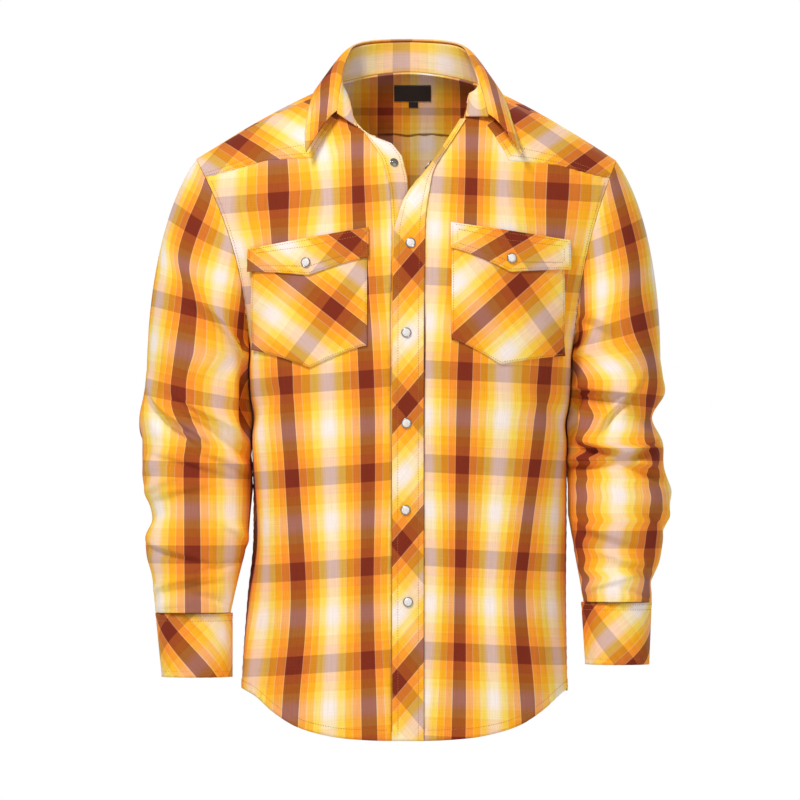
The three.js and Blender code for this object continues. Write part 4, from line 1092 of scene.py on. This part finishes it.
def cloth_piece(name, surface, rows, columns, chart, material, thickness=CLOTH, wrapped=False):
    """A thin shell of cloth: a grid moved onto a surface, with its place on the flat cloth."""
    bm = bmesh.new()
    bmesh.ops.create_grid(bm, x_segments=columns, y_segments=rows, size=0.5)
    bm.verts.ensure_lookup_table()
    flat = np.array([v.co[:2] for v in bm.verts])
    column = np.rint((flat[:, 0] + 0.5) * columns).astype(int)
    row = np.rint((0.5 - flat[:, 1]) * rows).astype(int)
    s, t = np.meshgrid(np.linspace(0, 1, columns + 1), np.linspace(0, 1, rows + 1))
    outer = surface(s, t, thickness)
    u, v = chart(outer)
    u, v = np.broadcast_to(u, s.shape), np.broadcast_to(v, s.shape)
    cloth = bm.loops.layers.uv.new("cloth")
    for vert, i, j in zip(bm.verts, row, column):
        vert.co = Vector(outer[i, j] * MM)
        for loop in vert.link_loops:
            loop[cloth].uv = (u[i, j], v[i, j])
    facing = outer - surface(s, t, thickness - 0.5)
    bm.normal_update()
    agreement = sum(
        vert.normal.dot(Vector(facing[i, j]))
        for vert, i, j in list(zip(bm.verts, row, column))[::97]
    )
    if wrapped:
        bmesh.ops.remove_doubles(bm, verts=bm.verts, dist=0.00002)
    if agreement < 0:
        bmesh.ops.reverse_faces(bm, faces=bm.faces)
    obj = new_object(name, bm, material)
    solid = obj.modifiers.new("cloth_thickness", "SOLIDIFY")
    solid.thickness = thickness * MM
    solid.offset = -1
    return obj


def add_stitches(name, surface, paths, height, material, length=2.3, pitch=3.1, radius=0.34):
    """Rows of thread on a surface: each path is a list of its corners as (s, t)."""
    bm = bmesh.new()
    for path in paths:
        corners = np.array(path, float)
        steps = [np.linspace(a, b, 80, endpoint=False) for a, b in zip(corners[:-1], corners[1:])]
        line = np.concatenate([*steps, corners[-1:]])
        points = surface(line[:, 0], line[:, 1], height + 0.12)
        above = surface(line[:, 0], line[:, 1], height + 1.12)
        travelled = np.concatenate([[0], np.cumsum(np.linalg.norm(np.diff(points, axis=0), axis=1))])
        for middle in np.arange(pitch, travelled[-1] - pitch / 2, pitch):
            ends = [
                Vector([np.interp(middle + shift, travelled, points[:, k]) for k in range(3)])
                for shift in (-length / 2, length / 2)
            ]
            lifted = Vector([np.interp(middle, travelled, above[:, k]) for k in range(3)])
            centre = (ends[0] + ends[1]) / 2
            run = (ends[1] - ends[0]).normalized()
            up = (lifted - centre).normalized()
            side = run.cross(up).normalized()
            up = side.cross(run)
            half_axes = (run * length / 2, side * radius, up * radius)
            turned = Matrix(half_axes).transposed().to_4x4()
            place = Matrix.Translation(centre * MM) @ Matrix.Scale(MM, 4) @ turned
            bmesh.ops.create_icosphere(bm, subdivisions=1, radius=1, matrix=place)
    return new_object(name, bm, material)


def add_turned(name, profile, seat, facing, material, steps=40):
    """A piece turned on its axis from a profile of (radius, height), seated and faced."""
    bm = bmesh.new()
    verts = [bm.verts.new((radius * MM, 0, height * MM)) for radius, height in profile]
    edges = [bm.edges.new(pair) for pair in zip(verts[:-1], verts[1:])]
    bmesh.ops.spin(
        bm, geom=verts + edges, cent=(0, 0, 0), axis=(0, 0, 1), angle=2 * math.pi,
        steps=steps, use_merge=True,
    )
    bmesh.ops.remove_doubles(bm, verts=bm.verts, dist=0.000005)
    bmesh.ops.recalc_face_normals(bm, faces=bm.faces)
    turn = Vector((0, 0, 1)).rotation_difference(Vector(facing)).to_matrix().to_4x4()
    bm.transform(Matrix.Translation(Vector(seat) * MM) @ turn)
    return new_object(name, bm, material)


# Materials

def linear(colour):
    """An sRGB hex colour as linear red, green, blue and alpha."""
    parts = [int(colour[k:k + 2], 16) / 255 for k in (1, 3, 5)]
    return [c / 12.92 if c <= 0.04045 else ((c + 0.055) / 1.055) ** 2.4 for c in parts] + [1.0]


def add_node(tree, kind, settings=None, links=None):
    """Adds a node, sets its values and sockets, and links its inputs to other nodes' outputs."""
    node = tree.nodes.new(kind)
    for key, value in (settings or {}).items():
        if isinstance(key, str) and hasattr(node, key):
            setattr(node, key, value)
        else:
            node.inputs[key].default_value = value
    for key, source in (links or {}).items():
        tree.links.new(source, node.inputs[key])
    return node


def new_material(name):
    material = bpy.data.materials.new(name)
    material.use_nodes = True
    material.node_tree.nodes.clear()
    return material, material.node_tree


def ramp_stops(node, stops, repeat):
    """Fills a colour ramp from a list of (mm, colour) over one repeat."""
    ramp = node.color_ramp
    ramp.interpolation = "LINEAR"
    while len(ramp.elements) < len(stops):
        ramp.elements.new(0.5)
    for element, (place, colour) in zip(ramp.elements, stops):
        element.position = place / repeat
        element.color = linear(colour)


MAROON = "#7D2A15"
ORANGE = "#F8922E"
GOLD = "#FDB020"
PALE = "#FDD858"
WHITE = "#FAEBE2"
PEACH = "#FBC592"


def yarn_stops(bounds, softness, pin):
    """The colours of one repeat: bounds are the mm where each colour gives way to the next. A
    pale thread lies between two stripes where there is a pin."""
    order = [MAROON, ORANGE, GOLD, PALE, WHITE, PALE, GOLD, ORANGE, MAROON]
    stops = [(0, MAROON)]
    for place, before, after in zip(bounds, order[:-1], order[1:]):
        if WHITE in (before, after):
            stops += [(place - softness, before), (place + softness, after)]
        elif pin:
            stops += [(place - 0.6, before), (place, PEACH), (place + 0.6, after)]
        else:
            stops += [(place - 0.4, before), (place + 0.4, after)]
    return stops


WARP_BOUNDS = [10, 20, 30, 41, 59, 70, 80, 90]
WEFT_BOUNDS = [10.7, 21.7, 32.7, 44, 64, 77, 88, 99.2]


def check_cloth(name):
    """Yarn-dyed cotton in plain weave: warp stripes crossed by weft bars, matt, with a faint
    silky sheen, fine slubs and a weave that shows only from near by."""
    material, tree = new_material(name)
    uv = add_node(tree, "ShaderNodeUVMap", {"uv_map": "cloth"})
    place = add_node(tree, "ShaderNodeSeparateXYZ", links={0: uv.outputs["UV"]})
    colours = []
    for output, repeat, bounds, softness, pin in (
        ("X", WARP_REPEAT, WARP_BOUNDS, 4.0, True), ("Y", WEFT_REPEAT, WEFT_BOUNDS, 5.0, False),
    ):
        turns = add_node(
            tree, "ShaderNodeMath", {"operation": "DIVIDE", 1: repeat}, {0: place.outputs[output]},
        )
        share = add_node(tree, "ShaderNodeMath", {"operation": "FRACT"}, {0: turns.outputs[0]})
        ramp = add_node(tree, "ShaderNodeValToRGB", links={0: share.outputs[0]})
        ramp_stops(ramp, yarn_stops(bounds, softness, pin), repeat)
        colours.append(add_node(
            tree, "ShaderNodeGamma", {"Gamma": 1 / 2.2}, {"Color": ramp.outputs["Color"]},
        ))
    # The weft shows less than the warp, as in a warp-faced cloth.
    crossed = add_node(
        tree, "ShaderNodeMix", {"data_type": "RGBA", "blend_type": "MIX", 0: 0.31},
        {6: colours[0].outputs["Color"], 7: colours[1].outputs["Color"]},
    )
    # Uneven yarns: streaks a millimetre wide and long, one set along each yarn direction.
    streaks = []
    for across, down, weight in ((0.9, 0.02, 0.032), (0.018, 0.8, 0.018)):
        stretched = add_node(
            tree, "ShaderNodeMapping", {"Scale": (across, down, 1.0)}, {"Vector": uv.outputs["UV"]},
        )
        noise = add_node(
            tree, "ShaderNodeTexNoise",
            {"noise_dimensions": "2D", "Scale": 1.0, "Detail": 2.0, "Roughness": 0.6},
            {"Vector": stretched.outputs["Vector"]},
        )
        streaks.append(add_node(
            tree, "ShaderNodeMapRange",
            {"From Min": 0.25, "From Max": 0.75, "To Min": 1 - weight, "To Max": 1 + weight},
            {"Value": noise.outputs["Fac"]},
        ))
    streaked = add_node(
        tree, "ShaderNodeMath", {"operation": "MULTIPLY"},
        {0: streaks[0].outputs["Result"], 1: streaks[1].outputs["Result"]},
    )
    uneven = add_node(
        tree, "ShaderNodeVectorMath", {"operation": "SCALE"},
        {0: crossed.outputs[2], "Scale": streaked.outputs[0]},
    )
    colour = add_node(tree, "ShaderNodeGamma", {"Gamma": 2.2}, {"Color": uneven.outputs[0]})
    # Plain weave at 0.5 mm, two and a half times the real thread spacing, so that it can show.
    waves = []
    for output in ("X", "Y"):
        phase = add_node(
            tree, "ShaderNodeMath", {"operation": "MULTIPLY", 1: 2 * math.pi / 0.5},
            {0: place.outputs[output]},
        )
        waves.append(add_node(tree, "ShaderNodeMath", {"operation": "SINE"}, {0: phase.outputs[0]}))
    weave = add_node(
        tree, "ShaderNodeMath", {"operation": "MULTIPLY"},
        {0: waves[0].outputs[0], 1: waves[1].outputs[0]},
    )
    texture = add_node(tree, "ShaderNodeTexCoord")
    crumple = add_node(
        tree, "ShaderNodeTexNoise", {"Scale": 32.0, "Detail": 3.0, "Roughness": 0.5},
        {"Vector": texture.outputs["Object"]},
    )
    crumpled = add_node(
        tree, "ShaderNodeBump", {"Strength": 0.22, "Distance": 0.006},
        {"Height": crumple.outputs["Fac"]},
    )
    bump = add_node(
        tree, "ShaderNodeBump", {"Strength": 0.12, "Distance": 0.0002},
        {"Height": weave.outputs[0], "Normal": crumpled.outputs["Normal"]},
    )
    shader = add_node(
        tree, "ShaderNodeBsdfPrincipled",
        {"Roughness": 0.85, "Specular IOR Level": 0.16, "Sheen Weight": 0.05, "Sheen Roughness": 0.45},
        {"Base Color": colour.outputs["Color"], "Normal": bump.outputs["Normal"]},
    )
    add_node(tree, "ShaderNodeOutputMaterial", links={"Surface": shader.outputs["BSDF"]})
    return material


def thread(name, colour):
    """Spun polyester sewing thread: a soft twist, slightly glossier than the cloth."""
    material, tree = new_material(name)
    texture = add_node(tree, "ShaderNodeTexCoord")
    twist = add_node(
        tree, "ShaderNodeTexNoise", {"Scale": 900.0, "Detail": 1.0},
        {"Vector": texture.outputs["Object"]},
    )
    tint = add_node(
        tree, "ShaderNodeMix",
        {"data_type": "RGBA", 6: linear(colour), 7: [c * 0.75 for c in linear(colour)[:3]] + [1.0]},
        {0: twist.outputs["Fac"]},
    )
    shader = add_node(
        tree, "ShaderNodeBsdfPrincipled", {"Roughness": 0.55, "Sheen Weight": 0.2},
        {"Base Color": tint.outputs[2]},
    )
    add_node(tree, "ShaderNodeOutputMaterial", links={"Surface": shader.outputs["BSDF"]})
    return material


def pearl_resin():
    """Cast polyester resin with pearl pigment: milky, glossy, with soft clouds in it."""
    material, tree = new_material("pearl_resin")
    texture = add_node(tree, "ShaderNodeTexCoord")
    clouds = add_node(
        tree, "ShaderNodeTexNoise", {"Scale": 260.0, "Detail": 2.0, "Distortion": 1.2},
        {"Vector": texture.outputs["Object"]},
    )
    tint = add_node(
        tree, "ShaderNodeMix",
        {"data_type": "RGBA", 6: linear("#F6F0ED"), 7: linear("#DCD4D1")},
        {0: clouds.outputs["Fac"]},
    )
    shader = add_node(
        tree, "ShaderNodeBsdfPrincipled",
        {"Roughness": 0.18, "Coat Weight": 0.6, "Coat Roughness": 0.06, "Subsurface Weight": 0.1,
         "Subsurface Radius": (0.002, 0.002, 0.002)},
        {"Base Color": tint.outputs[2]},
    )
    add_node(tree, "ShaderNodeOutputMaterial", links={"Surface": shader.outputs["BSDF"]})
    return material


def plated_brass():
    """Nickel-plated stamped brass: bright, with fine marks from the press."""
    material, tree = new_material("nickel_plated_brass")
    texture = add_node(tree, "ShaderNodeTexCoord")
    marks = add_node(
        tree, "ShaderNodeTexNoise", {"Scale": 700.0, "Detail": 3.0},
        {"Vector": texture.outputs["Object"]},
    )
    dull = add_node(
        tree, "ShaderNodeMapRange", {"To Min": 0.16, "To Max": 0.34},
        {"Value": marks.outputs["Fac"]},
    )
    shader = add_node(
        tree, "ShaderNodeBsdfPrincipled", {"Base Color": linear("#A5A29B"), "Metallic": 1.0},
        {"Roughness": dull.outputs["Result"]},
    )
    add_node(tree, "ShaderNodeOutputMaterial", links={"Surface": shader.outputs["BSDF"]})
    return material


def woven_label():
    """Damask polyester label: near black, with a satin face of fine ribs 0.4 mm apart."""
    material, tree = new_material("satin_label")
    uv = add_node(tree, "ShaderNodeUVMap", {"uv_map": "cloth"})
    ribs = add_node(
        tree, "ShaderNodeTexWave",
        {"wave_type": "BANDS", "bands_direction": "Y", "Scale": 0.8, "Distortion": 0.3},
        {"Vector": uv.outputs["UV"]},
    )
    tint = add_node(
        tree, "ShaderNodeMix",
        {"data_type": "RGBA", 6: linear("#120D0B"), 7: linear("#2A211D")},
        {0: ribs.outputs["Fac"]},
    )
    bump = add_node(
        tree, "ShaderNodeBump", {"Strength": 0.3, "Distance": 0.0002}, {"Height": ribs.outputs["Fac"]},
    )
    shader = add_node(
        tree, "ShaderNodeBsdfPrincipled", {"Roughness": 0.5, "Sheen Weight": 0.15},
        {"Base Color": tint.outputs[2], "Normal": bump.outputs["Normal"]},
    )
    add_node(tree, "ShaderNodeOutputMaterial", links={"Surface": shader.outputs["BSDF"]})
    return material


def pale_paper():
    """Seamless backdrop paper: matt, near white."""
    material, tree = new_material("backdrop_paper")
    texture = add_node(tree, "ShaderNodeTexCoord")
    fibres = add_node(
        tree, "ShaderNodeTexNoise", {"Scale": 40.0, "Detail": 2.0},
        {"Vector": texture.outputs["Object"]},
    )
    tint = add_node(
        tree, "ShaderNodeMix",
        {"data_type": "RGBA", 6: linear("#F4F3F1"), 7: linear("#F8F7F5")},
        {0: fibres.outputs["Fac"]},
    )
    shader = add_node(
        tree, "ShaderNodeBsdfPrincipled", {"Roughness": 0.9}, {"Base Color": tint.outputs[2]},
    )
    add_node(tree, "ShaderNodeOutputMaterial", links={"Surface": shader.outputs["BSDF"]})
    return material


CHECK = check_cloth("yarn_dyed_cotton")
BIAS_CHECK = check_cloth("yarn_dyed_cotton_on_the_bias")
# The thread's gold is set darker than the real thread, partly its own tone and partly painted shade of
# the groove that its stitches draw into the cloth.
THREAD = thread("topstitching_thread", "#B97A2E")
PEARL = pearl_resin()
METAL = plated_brass()
LABEL = woven_label()


# The pieces of the shirt

def settle(obj, node):
    """Ties a finished piece to the shirt's body and hides the solid that it stands for."""
    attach(obj, "root")
    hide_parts(node)


def sewn_cloth(name, surface, rows, columns, chart, bias=False, thickness=CLOTH,
               wrapped=False, paths=()):
    """One cut of cloth with its rows of stitches."""
    material = BIAS_CHECK if bias else CHECK
    obj = cloth_piece(name + "_cloth", surface, rows, columns, chart, material, thickness, wrapped)
    settle(obj, name)
    if paths:
        sewing = add_stitches(name + "_stitches", surface, paths, thickness, THREAD)
        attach(sewing, "root")


def edge_rows(width, height, insets, sides="lbr"):
    """Rows of stitches at insets from the edges of a piece, as (s, t) corners."""
    paths = []
    for inset in insets:
        s, t = inset / width, inset / height
        corners = {"tl": (s, t), "bl": (s, 1 - t), "br": (1 - s, 1 - t), "tr": (1 - s, t)}
        if "l" in sides:
            paths.append([corners["tl"], corners["bl"]])
        if "b" in sides:
            paths.append([corners["bl"], corners["br"]])
        if "r" in sides:
            paths.append([corners["br"], corners["tr"]])
        if "t" in sides:
            paths.append([corners["tr"], corners["tl"]])
    return paths


for side, side_name in SIDE_NAMES.items():
    sewn_cloth(
        f"front_{side_name}", front_surface(side), 230, 84, front_chart(side),
        paths=[
            [(0.01, 1 - HEM_ROW / FRONT_LENGTH), (0.99, 1 - HEM_ROW / FRONT_LENGTH)],
            [(1 - 7 / 150, 0.01), (1 - 7 / 170, 0.1), (1 - 7 / 210, 0.2), (1 - 7 / 230, 0.38)],
        ],
    )
    sewn_cloth(
        f"front_yoke_{side_name}", front_yoke_surface(side), 34, 76,
        bias_chart(f"front_yoke_{side_name}"), bias=True,
        paths=[
            [(0.02, 1 - 2 / 30), (0.98, 1 - 2 / 68)],
            [(0.02, 1 - 7 / 30), (0.3, 1 - 7 / 45), (0.98, 1 - 7 / 68)],
        ],
    )
    sewn_cloth(
        f"sleeve_{side_name}", sleeve_surface(side), 280, 150, sleeve_chart(side),
        wrapped=True,
    )
    sewn_cloth(
        f"sleeve_placket_{side_name}", sleeve_placket_surface(side), 50, 8, plain_chart,
        paths=[[(0.08, 0.02), (0.08, 0.98)], [(0.92, 0.02), (0.92, 0.98)]],
    )
    sewn_cloth(
        f"cuff_{side_name}", cuff_surface(side), 26, 170, cuff_chart(side),
        bias=True, thickness=DOUBLED_CLOTH,
        paths=[
            [(0.02, row / CUFF_DEPTH), (0.98, row / CUFF_DEPTH)]
            for row in (*CUFF_ROWS, CUFF_EDGE_ROW)
        ],
    )
    sewn_cloth(
        f"pocket_{side_name}", pocket_surface(side, "bag"), 52, 52,
        bias_chart(f"pocket_{side_name}"), bias=True,
        paths=edge_rows(135, 130, (EDGE_ROW,)),
    )
    sewn_cloth(
        f"pocket_flap_{side_name}", pocket_surface(side, "flap"), 24, 60,
        bias_chart(f"pocket_flap_{side_name}"), bias=True,
        paths=edge_rows(140, 34, (EDGE_ROW, FLAP_ROW), "lbrt"),
    )

sewn_cloth(
    "back", back_surface, 190, 150, back_chart,
    paths=[[(0.01, 1 - HEM_ROW / BACK_LENGTH), (0.99, 1 - HEM_ROW / BACK_LENGTH)]],
)
sewn_cloth(
    "back_yoke", back_yoke_surface, 44, 150, back_chart,
    thickness=YOKE_CLOTH,
    paths=[[(0.02, 1 - 3 / 70), (0.5, 1 - 3 / 95), (0.98, 1 - 3 / 70)]],
)
sewn_cloth(
    "placket_under", band_surface, 240, 16, band_chart,
    paths=[[(row / BAND_WIDTH, 0.01), (row / BAND_WIDTH, 0.99)] for row in BAND_ROWS],
)
sewn_cloth(
    "placket_top", top_placket_surface, 270, 26, strip_chart,
    bias=True,
    paths=[[(row / STRIP_WIDTH, 0.005), (row / STRIP_WIDTH, 0.995)] for row in STRIP_ROWS],
)
sewn_cloth(
    "collar_stand", stand_surface, 20, 190, stand_chart,
    thickness=DOUBLED_CLOTH, bias=True,
    paths=[[(0.02, 4 / STAND_HEIGHT), (0.98, 4 / STAND_HEIGHT)]],
)
sewn_cloth(
    "collar_leaf", leaf_surface, 34, 210, leaf_chart,
    thickness=DOUBLED_CLOTH, bias=True,
    paths=edge_rows(440, 52, (LEAF_ROW,)),
)


# Snaps: a pearl cap held in a metal rim. Profiles give a piece's radius and height.
RIM_PROFILE = [
    (0, 0), (5.5, 0), (5.95, 0.4), (5.95, 1.0), (5.45, 1.6), (4.85, 1.65), (4.65, 1.2), (0, 1.2),
]
CAP_PROFILE = [
    (0, 1.25), (4.6, 1.25), (4.72, 1.6), (4.35, 2.05), (3.3, 2.4), (1.8, 2.6), (0, 2.66),
]
STUD_PROFILE = [
    (0, 0), (5, 0), (5.3, 0.3), (5.2, 0.7), (4.4, 0.85), (2.6, 0.7), (2.2, 1.0), (2.45, 1.6),
    (2.3, 2.2), (1.6, 2.4), (0.9, 2.2), (0, 2.1),
]


def add_snap(node, seat, facing):
    rim = add_turned(node + "_rim", RIM_PROFILE, seat, facing, METAL)
    cap = add_turned(node + "_cap", CAP_PROFILE, seat, facing, PEARL)
    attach(rim, "root")
    settle(cap, node)


def snap_on_front(node, side, x, z, distance):
    place = find_place(side, x, z)
    seat = on_body(side, place[..., 0], place[..., 1], distance)
    add_snap(node, seat, outward(side, place[..., 0], place[..., 1]))


STRIP_TOP = 2 * CLOTH + LAYER_GAP
for number, (x, z) in enumerate(CLOSED_SNAPS, 1):
    snap_on_front(f"snap_front_{number}", LEFT, x, z, STRIP_TOP + 0.2)


def near_open_snap(below, beyond):
    z = np.array(float(OPEN_SNAP_Z - below))
    return strip_point(z, np.array(OPEN_SNAP_SPREAD + beyond), CLOTH)


across_strip = near_open_snap(0, 0.1) - near_open_snap(0, -0.1)
down_strip = near_open_snap(SNAP_RADIUS, 0) - near_open_snap(-SNAP_RADIUS, 0)
facing = unit(np.cross(across_strip, down_strip))
add_snap("snap_open", near_open_snap(0, 0) + facing * 0.4, facing)
for side, side_name in SIDE_NAMES.items():
    x, z = POCKETS[side]["snap"]
    snap_on_front(f"snap_pocket_{side_name}", side, x, z, 3 * CLOTH + 2 * LAYER_GAP + 0.4)
    cuff = cuff_surface(side)
    share = (360 + CUFF_LAP / 2) / (360 + CUFF_LAP)
    for number, t in enumerate((0.27, 0.73), 1):
        at = np.array(share), np.array(t)
        seat = cuff(*at, DOUBLED_CLOTH + 0.3)
        add_snap(f"snap_cuff_{side_name}_{number}", seat, unit(cuff(*at, 10.0) - cuff(*at, 0.0)))

share, spread = np.array(STUD_SHARE), np.array(STUD_SPREAD)
seat = band_surface(spread, share, CLOTH)
down = band_surface(spread, share + 0.04, CLOTH) - band_surface(spread, share - 0.04, CLOTH)
crosswise = band_surface(spread + 0.5, share, CLOTH) - band_surface(spread - 0.5, share, CLOTH)
facing = unit(np.cross(crosswise, down))
stud = add_turned("stud_front_metal", STUD_PROFILE, seat + facing * 0.2, facing, METAL)
settle(stud, "stud_front")

for node, surface, columns, rows, flat in (
    ("label", label_surface(5.5, -1.5, 44, 19), 24, 12, (0.046, 0.024)),
    ("label_tab", label_surface(6.5, -15, 11, 7), 10, 8, (0.011, 0.0105)),
):
    obj = cloth_piece(node + "_satin", surface, rows, columns, plain_chart, LABEL, 0.6)
    settle(obj, node)


# Floor, light and camera

bm = bmesh.new()
bmesh.ops.create_grid(bm, x_segments=1, y_segments=1, size=5.0)
bm.transform(Matrix.Translation((0, 0.5, -1.25)))
floor = new_object("floor", bm, pale_paper(), smooth_faces=False)

world = bpy.data.worlds.new("white_studio")
bpy.context.scene.world = world
world.use_nodes = True
background = world.node_tree.nodes["Background"]
background.inputs["Color"].default_value = (1, 1, 1, 1)
# The studio is white where it is seen and lights the shirt more softly than that.
seen = add_node(world.node_tree, "ShaderNodeLightPath")
brightness = add_node(
    world.node_tree, "ShaderNodeMapRange", {"To Min": 0.36, "To Max": 1.0},
    {"Value": seen.outputs["Is Camera Ray"]},
)
world.node_tree.links.new(brightness.outputs["Result"], background.inputs["Strength"])


def add_light(name, place, target, size, power):
    data = bpy.data.lights.new(name, "AREA")
    data.shape = "SQUARE"
    data.size = size
    data.energy = power
    obj = bpy.data.objects.new(name, data)
    obj.location = place
    obj.rotation_euler = (Vector(target) - Vector(place)).to_track_quat("-Z", "Y").to_euler()
    bpy.context.collection.objects.link(obj)


add_light("key", (-1.4, -2.6, 2.8), (0, 0, -0.35), 1.0, 128)
add_light("fill", (2.6, -3.4, 0.4), (0, 0, -0.4), 2.2, 22)
add_light("behind", (1.6, 3.4, 1.6), (0, 0, -0.35), 2.0, 55)

# The picture is 944 mm wide at y -0.05, which is 11.95 m from the camera.
camera_data = bpy.data.cameras.new("camera")
camera_data.sensor_width = 36
camera_data.lens = 36 * 11.95 / 0.944
camera = bpy.data.objects.new("camera", camera_data)
camera.location = (-0.00944, -12, -0.368)
camera.rotation_euler = (math.radians(90), 0, 0)
bpy.context.collection.objects.link(camera)
bpy.context.scene.camera = camera
bpy.context.scene.view_settings.view_transform = "Standard"
